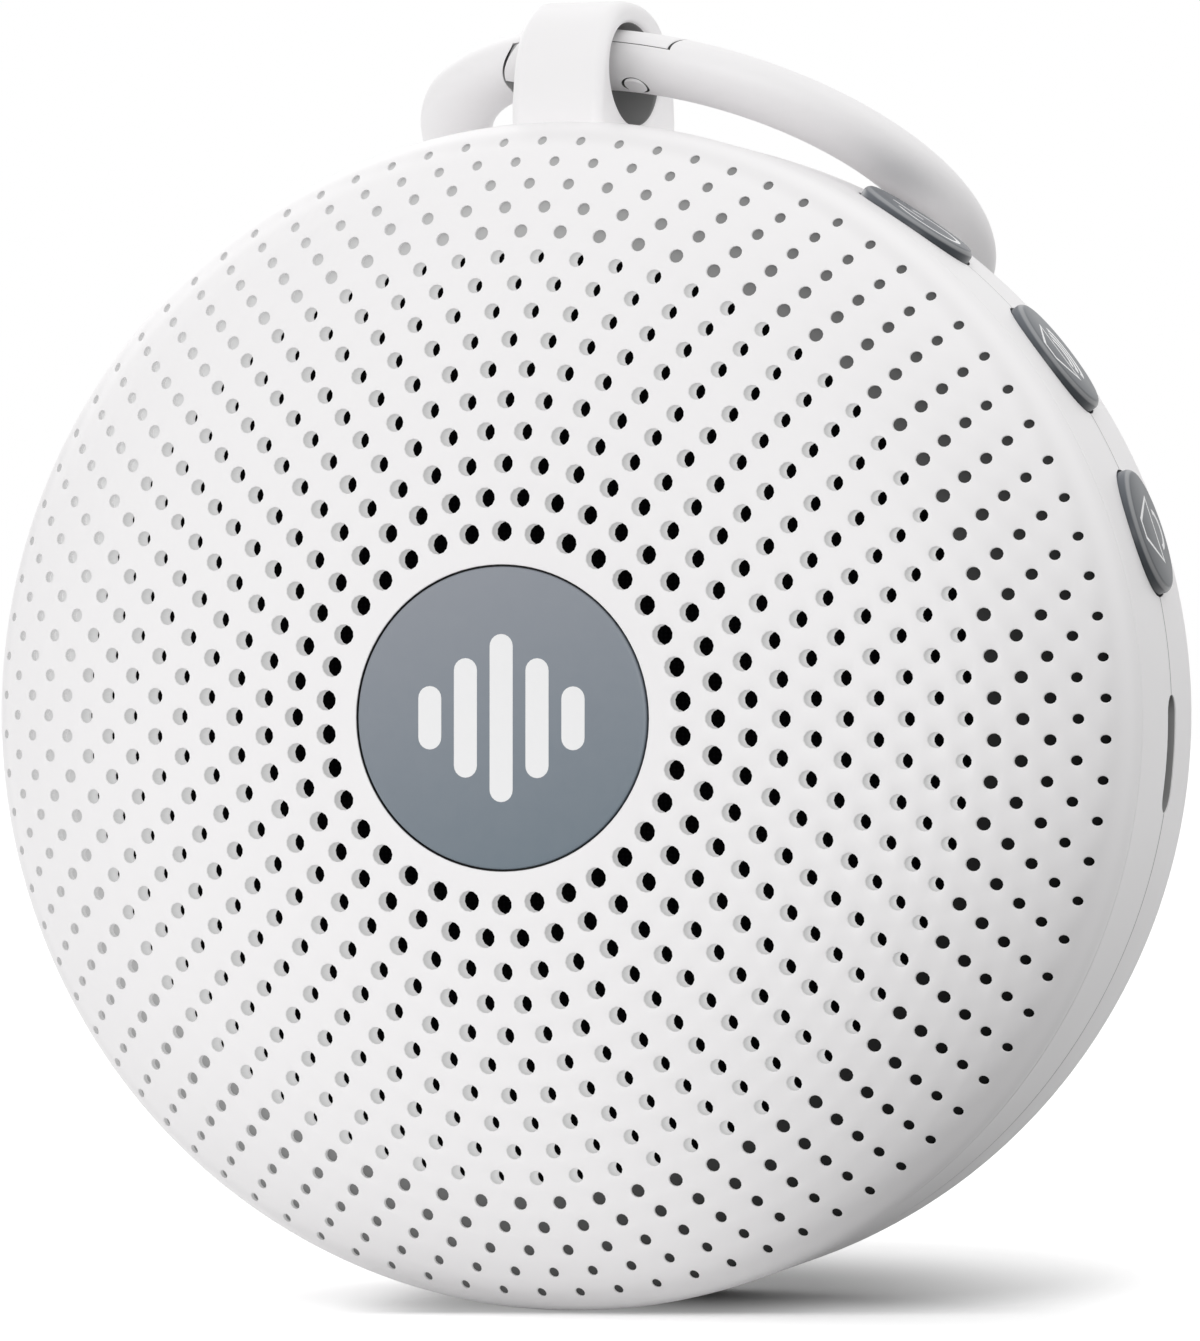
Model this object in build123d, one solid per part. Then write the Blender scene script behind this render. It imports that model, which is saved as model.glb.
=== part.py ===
from build123d import *
import math
import os

# Portable sound machine standing on its rim. Millimetres, +Z up, +X right, front towards -Y.
# The origin is the centre of the flat rear face, and the body's axis is the Y axis.

# ---- body shell ----
BODY_RADIUS = 48.0
BODY_DEPTH = 38.5            # crown of the dome to the rear face
DOME_DEPTH = 15.63           # crown to the seam between grille and band
DOME_RADIAL_POWER = 2.95     # superellipse powers of the dome's profile
DOME_DEPTH_POWER = 1.875
DOME_POINTS = 12
REAR_DEPTH = 11.75           # parting line above the rear face
REAR_EDGE_RADIUS = 4.5
GRILLE_WALL = 2.2
GRILLE_INNER_RIM = 45.7      # where the inside of the dome meets the seam
BAND_WALL = 1.8
REAR_WALL = 2.0
SEAM_CHAMFER = 0.15
SHELL_GAP = 0.1              # between shells that plug together
SEAT_GAP = 0.05              # between pieces that only touch

# ---- grille holes ----
HOLE_RINGS = 10              # open rings, then rings of blind dimples further out
DIMPLE_RINGS = 5
FIRST_RING_HOLES = 34
HOLES_ADDED_PER_RING = 4
FIRST_RING_RADIUS = 14.67
FIRST_RING_STEP = 2.70
RING_STEP_LOSS = 0.07
FIRST_HOLE_DIAMETER = 1.65
LAST_HOLE_DIAMETER = 1.18
LAST_DIMPLE_DIAMETER = 0.74
DIMPLE_DEPTH = 1.4           # square to the dome
DIMPLE_LEAD = 0.5            # cutter's start outside the dome

# ---- badge and scrim ----
BADGE_RADIUS = 11.9
BADGE_THICKNESS = 0.8
BADGE_EDGE_RADIUS = 0.15
BADGE_GAP = 0.15
BADGE_BACKING = 1.6
BADGE_BACKING_RIM = 1.0
ADHESIVE_THICKNESS = 0.15
SCRIM_THICKNESS = 0.35
SCRIM_OVERLAP = 1.2

# ---- front housing ----
SKIRT_LENGTH = 3.0
SKIRT_ROOT = 2.0
SKIRT_WALL = 1.2
WEB_THICKNESS = 1.5
CUP_WALL = 1.6
CUP_GAP = 1.2                # baffle cup to the grille's skirt
BAFFLE_THICKNESS = 1.6
BAFFLE_SETBACK = 4.0         # baffle's front face ahead of the seam

# ---- screws that hold the halves ----
SCREW_ANGLES = (75, 105, 215, 325)
SCREW_SHANK_RADIUS = 1.0
SCREW_HEAD_RADIUS = 1.9
SCREW_HEAD_HEIGHT = 1.4
SCREW_HEAD_SINK = 1.2
SCREW_CLEARANCE = 0.15
SCREW_BITE = 5.5
SCREW_DRIVE_RADIUS = 0.75
BOSS_RADIUS = 2.6
COLUMN_RADIUS = 3.0
LIP_WALL = 1.2
LIP_LENGTH = 2.0
LIP_ROOT = 2.0

# ---- speaker ----
SPEAKER_FLANGE_RADIUS = 29.5
SPEAKER_FLANGE = 1.0
SPEAKER_SCREW_CIRCLE = 27.2
SPEAKER_SCREW_ANGLES = (45, 135, 225, 315)
SPEAKER_SCREW_RADIUS = 0.9
SPEAKER_SCREW_HEAD = 1.7
SPEAKER_BOSS_RADIUS = 2.2
SPEAKER_BOSS_HEIGHT = 2.6
GASKET_THICKNESS = 0.6
SURROUND_OUTER = 23.6
CONE_OUTER = 19.6
CONE_WALL = 0.5
BASKET_DEPTH = 7.0
BASKET_WALL = 0.8
BASKET_BASE_RADIUS = 17.2
COIL_RADIUS = 8.0
COIL_WALL = 0.4
COIL_GAP = 0.25              # coil to the plates on both sides
TOP_PLATE_RADIUS = 15.5
TOP_PLATE_THICKNESS = 1.2
MAGNET_RADIUS = 16.0
MAGNET_THICKNESS = 3.0
YOKE_THICKNESS = 1.25
CONE_HEIGHT = 4.0

# ---- hanging lug ----
LUG_WIDTH = 7.7
LUG_DEPTH = 21.9
LUG_AXIS_BACK = 13.2         # lug's middle ahead of the rear face
LUG_TOP = 58.4
LUG_PROFILE_POWER = 2.6
LUG_PROFILE_POINTS = 9
LUG_FOOT = 47.0              # height at which the arch's curve starts
LUG_EDGE_RADIUS = 0.9
EYE_AXIS_BACK = 14.2
EYE_DEPTH = 14.4
EYE_BOTTOM = 48.3
EYE_TOP = 56.6
EYE_EDGE_RADIUS = 0.6
PLUG_WIDTH = 5.2
PLUG_DEPTH = 9.6
PLUG_AXIS_BACK = 11.5
FLANGE_OVERHANG = 2.4
FLANGE_THICKNESS = 1.5

# ---- ring ----
RING_RADIUS = 22.13
RING_HALF_WIDTH = 3.1        # half of the section across, in the ring's plane
RING_HALF_THICKNESS = 2.27   # half of the section through the ring's plane
RING_LEAN = 116.5            # degrees back from upright, where it leans on the rear edge
RING_YAW = -14.4
RING_ROLL = -3.4
ROD_BACK = 14.245            # rod's centre in the eye, ahead of the rear face
ROD_HEIGHT = 53.8
SWING_OFFSET = 1.3           # swing axis in from the rod's centre, towards the ring's middle
PIN_ARC = 4.75               # along the rod from the eye's middle to the pin
PIN_RADIUS = 1.15
PIN_CLEARANCE = 0.05
PIN_CHAMFER = 0.15
TAIL_RADIUS = 4.05           # end of the left arm's tail, about the pin
TIP_ARC = 4.6                # centre of the right arm's round tip, on the other side
LAP_GAP = 0.08
LAP_END_GAP = 0.2
TONGUE_WAIST = 2.6           # taken off the tongue's inner side where it leaves the eye
TONGUE_TIP_WAIST = 3.1       # and at its tip, so that the ring can open
WAIST_START = 2.6            # where that relief starts, right of the eye's middle
FAR_LAP = 2.0

# ---- keys ----
KEY_ANGLES = {"power": 56.0, "volume_up": 37.0, "volume_down": 18.0}
KEY_LENGTH = 10.4            # round the rim
KEY_WIDTH = 9.5              # along the body's axis
KEY_PROUD = 0.74
KEY_BEVEL = 0.42
KEY_GAP = 0.2
KEY_FLANGE_EXTRA = 0.75
KEY_FLANGE_THICKNESS = 0.9
KEY_FLANGE_DROP = 2.8        # flange's outer face below the body's surface
KEY_STEM_RADIUS = 1.2
KEY_TRAVEL = 0.45
SWITCH_WIDTH = 6.0
SWITCH_THICKNESS = 3.5
SWITCH_LENGTH = 5.4
SWITCH_PLUNGER_RADIUS = 1.0
SWITCH_PLUNGER_OUT = 1.1
SWITCH_PLUNGER_BORE = 2.0

# ---- charging socket ----
PORT_ANGLE = -3.6
PORT_SLOT_LENGTH = 9.1
PORT_SLOT_WIDTH = 2.6
PORT_SHELL_LENGTH = 8.94
PORT_SHELL_WIDTH = 3.26
PORT_SHELL_WALL = 0.3
PORT_SHELL_DEPTH = 7.3
PORT_TONGUE_WIDTH = 6.6
PORT_TONGUE_THICKNESS = 0.7
PORT_TONGUE_SETBACK = 1.0
PORT_BACK_THICKNESS = 2.2

# ---- board and battery ----
BOARD_THICKNESS = 1.6
BOARD_EDGE_GAP = 3.2
BOARD_BOTTOM = -4.4
BOARD_TAB_BOTTOM = -10.0
BOARD_TAB_LEFT = 27.0
BOARD_NOTCH_RADIUS = 3.6
BOARD_SCREW_PLACES = ((26.0, 2.0), (-34.0, 4.0), (-22.0, 31.0), (9.0, 31.0))
BOARD_BOSS_RADIUS = 2.2
BOARD_SCREW_RADIUS = 0.8
BOARD_SCREW_HEAD = 1.5
BATTERY_WIDTH = 46.0
BATTERY_HEIGHT = 31.0
BATTERY_THICKNESS = 7.3
BATTERY_CORNER_GAP = 2.2
BATTERY_OFFSET = -1.5
BATTERY_CORNER_RADIUS = 2.0
PAD_THICKNESS = 0.5
RIB_WALL = 1.2
RIB_GAP = 0.3
RIB_HEIGHT = 4.0
LEAD_RADIUS = 0.6
LEAD_SPACING = 1.5

# ---- worked out from the sizes above ----
CROWN_Y = -BODY_DEPTH
SEAM_Y = CROWN_Y + DOME_DEPTH
PARTING_Y = -REAR_DEPTH
BAND_INNER = BODY_RADIUS - BAND_WALL
REAR_INNER = BODY_RADIUS - REAR_WALL
SKIRT_OUTER = BAND_INNER - SHELL_GAP
SKIRT_INNER = SKIRT_OUTER - SKIRT_WALL
CUP_OUTER = SKIRT_INNER - CUP_GAP
CUP_INNER = CUP_OUTER - CUP_WALL
WEB_FRONT = SEAM_Y + SKIRT_LENGTH + SHELL_GAP
WEB_REAR = WEB_FRONT + WEB_THICKNESS
BAFFLE_FRONT = SEAM_Y - BAFFLE_SETBACK
BAFFLE_REAR = BAFFLE_FRONT + BAFFLE_THICKNESS
SCREW_CIRCLE = CUP_INNER + CUP_WALL / 2 - BOSS_RADIUS
BOARD_FRONT = PARTING_Y + SWITCH_THICKNESS / 2
BOARD_REAR = BOARD_FRONT + BOARD_THICKNESS
BOARD_RADIUS = REAR_INNER - BOARD_EDGE_GAP


def dome_setback(radius, rim, depth):
    """How far the dome's surface lies behind its crown at a radius."""
    share = min(radius / rim, 1.0)
    return depth * (1 - (1 - share ** DOME_RADIAL_POWER) ** (1 / DOME_DEPTH_POWER))


def outer_dome_y(radius):
    return CROWN_Y + dome_setback(radius, BODY_RADIUS, DOME_DEPTH)


def inner_dome_y(radius):
    return CROWN_Y + GRILLE_WALL + dome_setback(radius, GRILLE_INNER_RIM, DOME_DEPTH - GRILLE_WALL)


def dome_curve(height_at, first, last):
    """Profile of the dome between two radii, in the XY plane."""
    turns = [math.asin(first / last) + (math.pi / 2 - math.asin(first / last)) * i / DOME_POINTS
             for i in range(DOME_POINTS + 1)]
    return Spline(*[(last * math.sin(turn), height_at(last * math.sin(turn))) for turn in turns])


def turned(*corners):
    """Solid of revolution about the body's axis from (radius, y) corners."""
    return revolve(make_face(Polyline(*corners, close=True)), Axis.Y)


def rod_along_y(radius, start, end, x=0.0, z=0.0):
    """Cylinder along the body's axis."""
    place = Plane(origin=(x, start, z), x_dir=(1, 0, 0), z_dir=(0, 1, 0))
    return place.location * Cylinder(radius, end - start, align=(Align.CENTER, Align.CENTER, Align.MIN))


def tube_along_y(outer, inner, start, end):
    return turned((inner, start), (outer, start), (outer, end), (inner, end))


def on_circle(radius, degrees):
    turn = math.radians(degrees)
    return radius * math.cos(turn), radius * math.sin(turn)


def block(x, y, z):
    """Box from its two limits along each axis."""
    size = (x[1] - x[0], y[1] - y[0], z[1] - z[0])
    return Pos((x[0] + x[1]) / 2, (y[0] + y[1]) / 2, (z[0] + z[1]) / 2) * Box(*size)


def rim_plane(degrees, radius):
    """Plane that faces out of the rim on the parting line: its X runs round the rim, its Y along the body."""
    turn = math.radians(degrees)
    out = (math.cos(turn), 0, math.sin(turn))
    around = (math.sin(turn), 0, -math.cos(turn))
    origin = (radius * out[0], PARTING_Y, radius * out[2])
    return Plane(origin=origin, x_dir=around, z_dir=out)


def rim_ellipse(degrees, length, width, low, high):
    """Oval prism that stands out of the rim between two radii."""
    plane = rim_plane(degrees, low)
    return plane.location * extrude(Ellipse(length / 2, width / 2), high - low)


def rim_slot(degrees, length, width, low, high):
    """Prism with round ends that stands out of the rim, long side round the rim."""
    plane = rim_plane(degrees, low)
    return plane.location * extrude(SlotOverall(length, width), high - low)


def rim_block(degrees, length, y, low, high):
    """Box that stands out of the rim between two radii and two depths."""
    plane = rim_plane(degrees, low)
    middle = (y[0] + y[1]) / 2 - PARTING_Y
    side = plane.y_dir.Y
    return plane.location * (Pos(0, side * middle, (high - low) / 2) * Box(length, y[1] - y[0], high - low))


# ---- grille, badge and scrim ----
def badge_front_y():
    return outer_dome_y(BADGE_RADIUS + BADGE_GAP)


def badge_floor_y():
    return badge_front_y() + BADGE_THICKNESS + ADHESIVE_THICKNESS


def ring_radius(index):
    return FIRST_RING_RADIUS + FIRST_RING_STEP * index - RING_STEP_LOSS * index * (index - 1) / 2


def hole_diameter(index):
    last_open = HOLE_RINGS - 1
    if index <= last_open:
        return FIRST_HOLE_DIAMETER + (LAST_HOLE_DIAMETER - FIRST_HOLE_DIAMETER) * index / last_open
    return LAST_HOLE_DIAMETER + (LAST_DIMPLE_DIAMETER - LAST_HOLE_DIAMETER) * (index - last_open) / DIMPLE_RINGS


def through_hole(index, degrees):
    """Cutter for an open hole, along the body's axis."""
    radius = ring_radius(index)
    diameter = hole_diameter(index)
    front = outer_dome_y(radius - diameter) - GRILLE_WALL
    back = inner_dome_y(radius + diameter) + GRILLE_WALL
    x, z = on_circle(radius, degrees)
    return rod_along_y(diameter / 2, front, back, x, z)


def dimple(index, degrees):
    """Cutter for a blind dimple, square to the dome."""
    radius = ring_radius(index)
    step = DIMPLE_LEAD / 100
    slope = (outer_dome_y(radius + step) - outer_dome_y(radius - step)) / (2 * step)
    out_x, out_z = on_circle(1, degrees)
    inwards = Vector(-slope * out_x, 1, -slope * out_z).normalized()
    surface = Vector(radius * out_x, outer_dome_y(radius), radius * out_z)
    place = Plane(origin=surface - inwards * DIMPLE_LEAD, z_dir=inwards)
    cutter = Cylinder(hole_diameter(index) / 2, DIMPLE_LEAD + DIMPLE_DEPTH,
                      align=(Align.CENTER, Align.CENTER, Align.MIN))
    return place.location * cutter


def grille_holes():
    """One cutter per hole and dimple. Every second ring starts half a step off the top centre line."""
    cutters = []
    for index in range(HOLE_RINGS + DIMPLE_RINGS):
        cutter = through_hole if index < HOLE_RINGS else dimple
        count = FIRST_RING_HOLES + HOLES_ADDED_PER_RING * index
        for hole in range(count):
            cutters.append(cutter(index, 90 + 360 * (hole + 0.5 * (index % 2)) / count))
    return cutters


def front_grille():
    outer = dome_curve(outer_dome_y, 0.0, BODY_RADIUS)
    inner = dome_curve(inner_dome_y, 0.0, GRILLE_INNER_RIM)
    shell = revolve(make_face([outer, Line(outer @ 1, inner @ 1), inner, Line(inner @ 0, outer @ 0)]), Axis.Y)
    skirt = tube_along_y(SKIRT_OUTER, SKIRT_INNER, SEAM_Y - SKIRT_ROOT, SEAM_Y + SKIRT_LENGTH)
    backing = rod_along_y(BADGE_RADIUS + BADGE_BACKING_RIM, badge_floor_y(), badge_floor_y() + BADGE_BACKING)
    recess = rod_along_y(BADGE_RADIUS + BADGE_GAP, CROWN_Y - GRILLE_WALL, badge_floor_y())
    chamfer = turned((BODY_RADIUS - SEAM_CHAMFER, SEAM_Y), (BODY_RADIUS + SEAM_CHAMFER, SEAM_Y),
                     (BODY_RADIUS + SEAM_CHAMFER, SEAM_Y - 2 * SEAM_CHAMFER))
    return shell + skirt + backing - [recess, chamfer] - grille_holes()


def badge_disc():
    front = badge_front_y()
    disc = rod_along_y(BADGE_RADIUS, front, front + BADGE_THICKNESS)
    return fillet(disc.edges().group_by(Axis.Y)[0], BADGE_EDGE_RADIUS)


def badge_adhesive():
    front = badge_front_y() + BADGE_THICKNESS
    return rod_along_y(BADGE_RADIUS - BADGE_GAP, front, front + ADHESIVE_THICKNESS)


def grille_scrim():
    """Cloth behind the open holes, bonded to the inside of the dome."""
    first = BADGE_RADIUS + BADGE_BACKING_RIM + SEAT_GAP
    last = ring_radius(HOLE_RINGS - 1) + SCRIM_OVERLAP
    front = dome_curve(lambda radius: inner_dome_y(radius) + SEAT_GAP, first, last)
    back = dome_curve(lambda radius: inner_dome_y(radius) + SEAT_GAP + SCRIM_THICKNESS, first, last)
    return revolve(make_face([front, Line(front @ 1, back @ 1), back, Line(back @ 0, front @ 0)]), Axis.Y)


# ---- front and rear housings ----
def body_envelope(gap):
    """The closed body's outline of band and rear edge, swollen by a gap."""
    rim = BODY_RADIUS + gap
    edge = REAR_EDGE_RADIUS
    outline = [
        Line((0, CROWN_Y), (rim, CROWN_Y)),
        Line((rim, CROWN_Y), (rim, -edge)),
        CenterArc((BODY_RADIUS - edge, -edge), edge + gap, 0, 90),
        Line((BODY_RADIUS - edge, gap), (0, gap)),
        Line((0, gap), (0, CROWN_Y)),
    ]
    return revolve(make_face(outline), Axis.Y)


def lug_cutter(gap):
    """Slot for the lug's plug, and room inside for its flange."""
    half = PLUG_WIDTH / 2 + gap
    deep = PLUG_DEPTH / 2 + gap
    middle = -PLUG_AXIS_BACK
    return block((-half, half), (middle - deep, middle + deep), (REAR_INNER - LIP_WALL, BODY_RADIUS + 1))


def key_cutters():
    low = BODY_RADIUS - 2 * REAR_WALL
    high = BODY_RADIUS + REAR_WALL
    return [rim_ellipse(angle, KEY_LENGTH + 2 * KEY_GAP, KEY_WIDTH + 2 * KEY_GAP, low, high)
            for angle in KEY_ANGLES.values()]


def port_cutter():
    return rim_slot(PORT_ANGLE, PORT_SLOT_LENGTH, PORT_SLOT_WIDTH, BODY_RADIUS - 2 * REAR_WALL,
                    BODY_RADIUS + REAR_WALL)


def front_housing():
    band = tube_along_y(BODY_RADIUS, BAND_INNER, SEAM_Y, PARTING_Y)
    web = tube_along_y(BAND_INNER + SEAT_GAP, CUP_INNER, WEB_FRONT, WEB_REAR)
    cup = tube_along_y(CUP_OUTER, CUP_INNER, BAFFLE_FRONT, WEB_REAR)
    baffle = tube_along_y(CUP_OUTER, SURROUND_OUTER + BAFFLE_THICKNESS / 2, BAFFLE_FRONT, BAFFLE_REAR)
    body = band + web + cup + baffle
    pilots = []
    for angle in SCREW_ANGLES:
        x, z = on_circle(SCREW_CIRCLE, angle)
        body += rod_along_y(BOSS_RADIUS, BAFFLE_REAR - BAFFLE_THICKNESS / 2, PARTING_Y, x, z)
        pilots.append(rod_along_y(SCREW_SHANK_RADIUS, PARTING_Y - SCREW_BITE - SCREW_CLEARANCE, PARTING_Y, x, z))
    for angle in SPEAKER_SCREW_ANGLES:
        x, z = on_circle(SPEAKER_SCREW_CIRCLE, angle)
        top = BAFFLE_FRONT - SPEAKER_BOSS_HEIGHT
        body += rod_along_y(SPEAKER_BOSS_RADIUS, top, BAFFLE_REAR, x, z)
        pilots.append(rod_along_y(SPEAKER_SCREW_RADIUS, top + BAFFLE_THICKNESS / 2, BAFFLE_REAR, x, z))
    chamfers = [
        turned((BODY_RADIUS - SEAM_CHAMFER, PARTING_Y), (BODY_RADIUS + SEAM_CHAMFER, PARTING_Y),
               (BODY_RADIUS + SEAM_CHAMFER, PARTING_Y - 2 * SEAM_CHAMFER)),
        turned((BODY_RADIUS - SEAM_CHAMFER, SEAM_Y), (BODY_RADIUS + SEAM_CHAMFER, SEAM_Y),
               (BODY_RADIUS + SEAM_CHAMFER, SEAM_Y + 2 * SEAM_CHAMFER)),
    ]
    return body - pilots - chamfers - key_cutters() - [port_cutter(), lug_cutter(SHELL_GAP)]


def battery_limits():
    """The cell's box: it sits low, with its lower corners clear of the shell."""
    half = BATTERY_WIDTH / 2
    reach = REAR_INNER - BATTERY_CORNER_GAP
    low = -math.sqrt(reach ** 2 - (half + abs(BATTERY_OFFSET)) ** 2)
    back = -REAR_WALL - PAD_THICKNESS
    return ((BATTERY_OFFSET - half, BATTERY_OFFSET + half), (back - BATTERY_THICKNESS, back),
            (low, low + BATTERY_HEIGHT))


def battery_ribs():
    x, y, z = battery_limits()
    inner = block((x[0] - RIB_GAP, x[1] + RIB_GAP), (-REAR_WALL - RIB_HEIGHT, -REAR_WALL / 2),
                  (z[0] - RIB_GAP, z[1] + RIB_GAP))
    grow = RIB_GAP + RIB_WALL
    outer = block((x[0] - grow, x[1] + grow), (-REAR_WALL - RIB_HEIGHT, -REAR_WALL / 2),
                  (z[0] - grow, z[1] + grow))
    inside = rod_along_y(REAR_INNER + REAR_WALL / 2, -REAR_WALL - RIB_HEIGHT, -REAR_WALL / 2)
    half = LEAD_SPACING + LEAD_RADIUS
    doorway = block((BATTERY_PLUG[0] - half, BATTERY_PLUG[0] + half), (-REAR_WALL - RIB_HEIGHT, -REAR_WALL),
                    (z[1], z[1] + 2 * grow))
    return ((outer - inner) & inside) - doorway


def lip_cutters():
    """Gaps in the locating lip where keys, socket, lug and columns stand."""
    low = REAR_INNER - 2 * LIP_WALL - 1
    high = REAR_INNER
    reach = (PARTING_Y - LIP_LENGTH - 1, PARTING_Y + LIP_ROOT + 2 * LIP_WALL)
    cutters = [rim_block(angle, KEY_LENGTH + 4 * KEY_FLANGE_EXTRA, reach, low, high)
               for angle in KEY_ANGLES.values()]
    cutters.append(rim_block(PORT_ANGLE, PORT_SHELL_LENGTH + 2, reach, low, high))
    cutters.append(rim_block(90, PLUG_WIDTH + 2 * FLANGE_OVERHANG + 1, reach, low, high))
    return cutters


def rear_housing():
    rim = BODY_RADIUS
    edge = REAR_EDGE_RADIUS
    inner_edge = edge - REAR_WALL
    wall = REAR_INNER
    outline = [
        Line((0, 0), (rim - edge, 0)),
        CenterArc((rim - edge, -edge), edge, 0, 90),
        Line((rim, -edge), (rim, PARTING_Y + SEAM_CHAMFER)),
        Line((rim, PARTING_Y + SEAM_CHAMFER), (rim - SEAM_CHAMFER, PARTING_Y)),
        Line((rim - SEAM_CHAMFER, PARTING_Y), (wall, PARTING_Y)),
        Line((wall, PARTING_Y), (wall, -edge)),
        CenterArc((rim - edge, -edge), inner_edge, 0, 90),
        Line((rim - edge, -REAR_WALL), (0, -REAR_WALL)),
        Line((0, -REAR_WALL), (0, 0)),
    ]
    shell = revolve(make_face(outline), Axis.Y)
    lip_outer = wall - SHELL_GAP
    lip_inner = lip_outer - LIP_WALL
    lip = turned((lip_inner, PARTING_Y - LIP_LENGTH), (lip_outer, PARTING_Y - LIP_LENGTH),
                 (lip_outer, PARTING_Y + SEAT_GAP), (wall + SEAT_GAP, PARTING_Y + SEAT_GAP),
                 (wall + SEAT_GAP, PARTING_Y + LIP_ROOT + LIP_WALL), (lip_inner, PARTING_Y + LIP_ROOT))
    body = shell + (lip - lip_cutters())
    holes = []
    for angle in SCREW_ANGLES:
        x, z = on_circle(SCREW_CIRCLE, angle)
        body += rod_along_y(COLUMN_RADIUS, PARTING_Y + SEAT_GAP, -REAR_WALL / 2, x, z)
        holes.append(rod_along_y(SCREW_SHANK_RADIUS + SCREW_CLEARANCE, PARTING_Y, 0, x, z))
        holes.append(rod_along_y(SCREW_HEAD_RADIUS + SCREW_CLEARANCE, -SCREW_HEAD_SINK - SCREW_HEAD_HEIGHT, 1, x, z))
    for x, z in BOARD_SCREW_PLACES:
        body += rod_along_y(BOARD_BOSS_RADIUS, BOARD_REAR, -REAR_WALL / 2, x, z)
        holes.append(rod_along_y(BOARD_SCREW_RADIUS, BOARD_REAR, -REAR_WALL, x, z))
    body += battery_ribs()
    return body - holes - key_cutters() - [port_cutter(), lug_cutter(SHELL_GAP)]


def housing_screws():
    screws = []
    for angle in SCREW_ANGLES:
        x, z = on_circle(SCREW_CIRCLE, angle)
        seat = -SCREW_HEAD_SINK - SCREW_HEAD_HEIGHT
        head = rod_along_y(SCREW_HEAD_RADIUS, seat, -SCREW_HEAD_SINK, x, z)
        shank = rod_along_y(SCREW_SHANK_RADIUS, PARTING_Y - SCREW_BITE, seat, x, z)
        drive = rod_along_y(SCREW_DRIVE_RADIUS, seat + SCREW_HEAD_HEIGHT / 2, 0, x, z)
        screws.append(head + shank - drive)
    return Compound(children=screws)


# ---- speaker ----
FLANGE_Y = BAFFLE_REAR + GASKET_THICKNESS
BASKET_BASE_Y = FLANGE_Y + SPEAKER_FLANGE + BASKET_DEPTH - BASKET_WALL
TOP_PLATE_Y = BASKET_BASE_Y + BASKET_WALL + SEAT_GAP
MAGNET_Y = TOP_PLATE_Y + TOP_PLATE_THICKNESS + SEAT_GAP
YOKE_Y = MAGNET_Y + MAGNET_THICKNESS + SEAT_GAP
CONE_THROAT_Y = FLANGE_Y + CONE_HEIGHT


def speaker_gasket():
    return tube_along_y(SPEAKER_FLANGE_RADIUS - SPEAKER_BOSS_RADIUS * 2, SURROUND_OUTER + BAFFLE_THICKNESS / 2,
                        BAFFLE_REAR, FLANGE_Y)


def speaker_basket():
    flange_back = FLANGE_Y + SPEAKER_FLANGE
    base_back = BASKET_BASE_Y + BASKET_WALL
    rim_inner = SURROUND_OUTER - SPEAKER_FLANGE
    basket = turned((rim_inner, FLANGE_Y), (SPEAKER_FLANGE_RADIUS, FLANGE_Y),
                    (SPEAKER_FLANGE_RADIUS, flange_back), (SURROUND_OUTER + BASKET_WALL, flange_back),
                    (BASKET_BASE_RADIUS, base_back), (TOP_PLATE_RADIUS / 2 + SPEAKER_FLANGE, base_back),
                    (TOP_PLATE_RADIUS / 2 + SPEAKER_FLANGE, BASKET_BASE_Y),
                    (BASKET_BASE_RADIUS - BASKET_WALL, BASKET_BASE_Y), (rim_inner, flange_back))
    window = block((BASKET_BASE_RADIUS + BASKET_WALL, SPEAKER_FLANGE_RADIUS),
                   (flange_back + BASKET_WALL, BASKET_BASE_Y - BASKET_WALL), (-BASKET_DEPTH, BASKET_DEPTH))
    cutters = [Rot(0, turn, 0) * window for turn in (0, 90, 180, 270)]
    for angle in SPEAKER_SCREW_ANGLES:
        x, z = on_circle(SPEAKER_SCREW_CIRCLE, angle)
        cutters.append(rod_along_y(SPEAKER_SCREW_RADIUS + SCREW_CLEARANCE, FLANGE_Y, flange_back, x, z))
    return basket - cutters


def speaker_surround():
    """Half-roll of rubber between the cone's edge and the basket's rim."""
    middle = (CONE_OUTER + SURROUND_OUTER) / 2
    outer = (SURROUND_OUTER - CONE_OUTER) / 2
    inner = outer - CONE_WALL
    y = FLANGE_Y - SEAT_GAP
    outline = [
        CenterArc((middle, y), outer, 180, 180),
        Line((middle + outer, y), (middle + inner, y)),
        CenterArc((middle, y), inner, 180, 180),
        Line((middle - inner, y), (middle - outer, y)),
    ]
    return revolve(make_face(outline), Axis.Y)


def speaker_cone():
    throat = COIL_RADIUS + COIL_WALL + SEAT_GAP
    return turned((CONE_OUTER - SEAT_GAP, FLANGE_Y - CONE_WALL), (CONE_OUTER - SEAT_GAP, FLANGE_Y),
                  (throat, CONE_THROAT_Y), (throat, CONE_THROAT_Y - 1.5 * CONE_WALL))


def speaker_dust_cap():
    rim = COIL_RADIUS - SEAT_GAP
    rise = rim / 3
    front = CONE_THROAT_Y - CONE_WALL
    outer = ThreePointArc((-rim, front), (0, front - rise), (rim, front))
    half = make_face([outer, Line(outer @ 1, (rim, front + CONE_WALL)),
                      ThreePointArc((rim, front + CONE_WALL), (0, front - rise + CONE_WALL),
                                    (-rim, front + CONE_WALL)),
                      Line((-rim, front + CONE_WALL), outer @ 0)])
    right = half & (Pos(rim, 0) * Rectangle(2 * rim, 8 * BODY_DEPTH))
    return revolve(right, Axis.Y)


def voice_coil():
    return tube_along_y(COIL_RADIUS + COIL_WALL, COIL_RADIUS, CONE_THROAT_Y - 2 * CONE_WALL,
                        MAGNET_Y + MAGNET_THICKNESS / 2)


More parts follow.
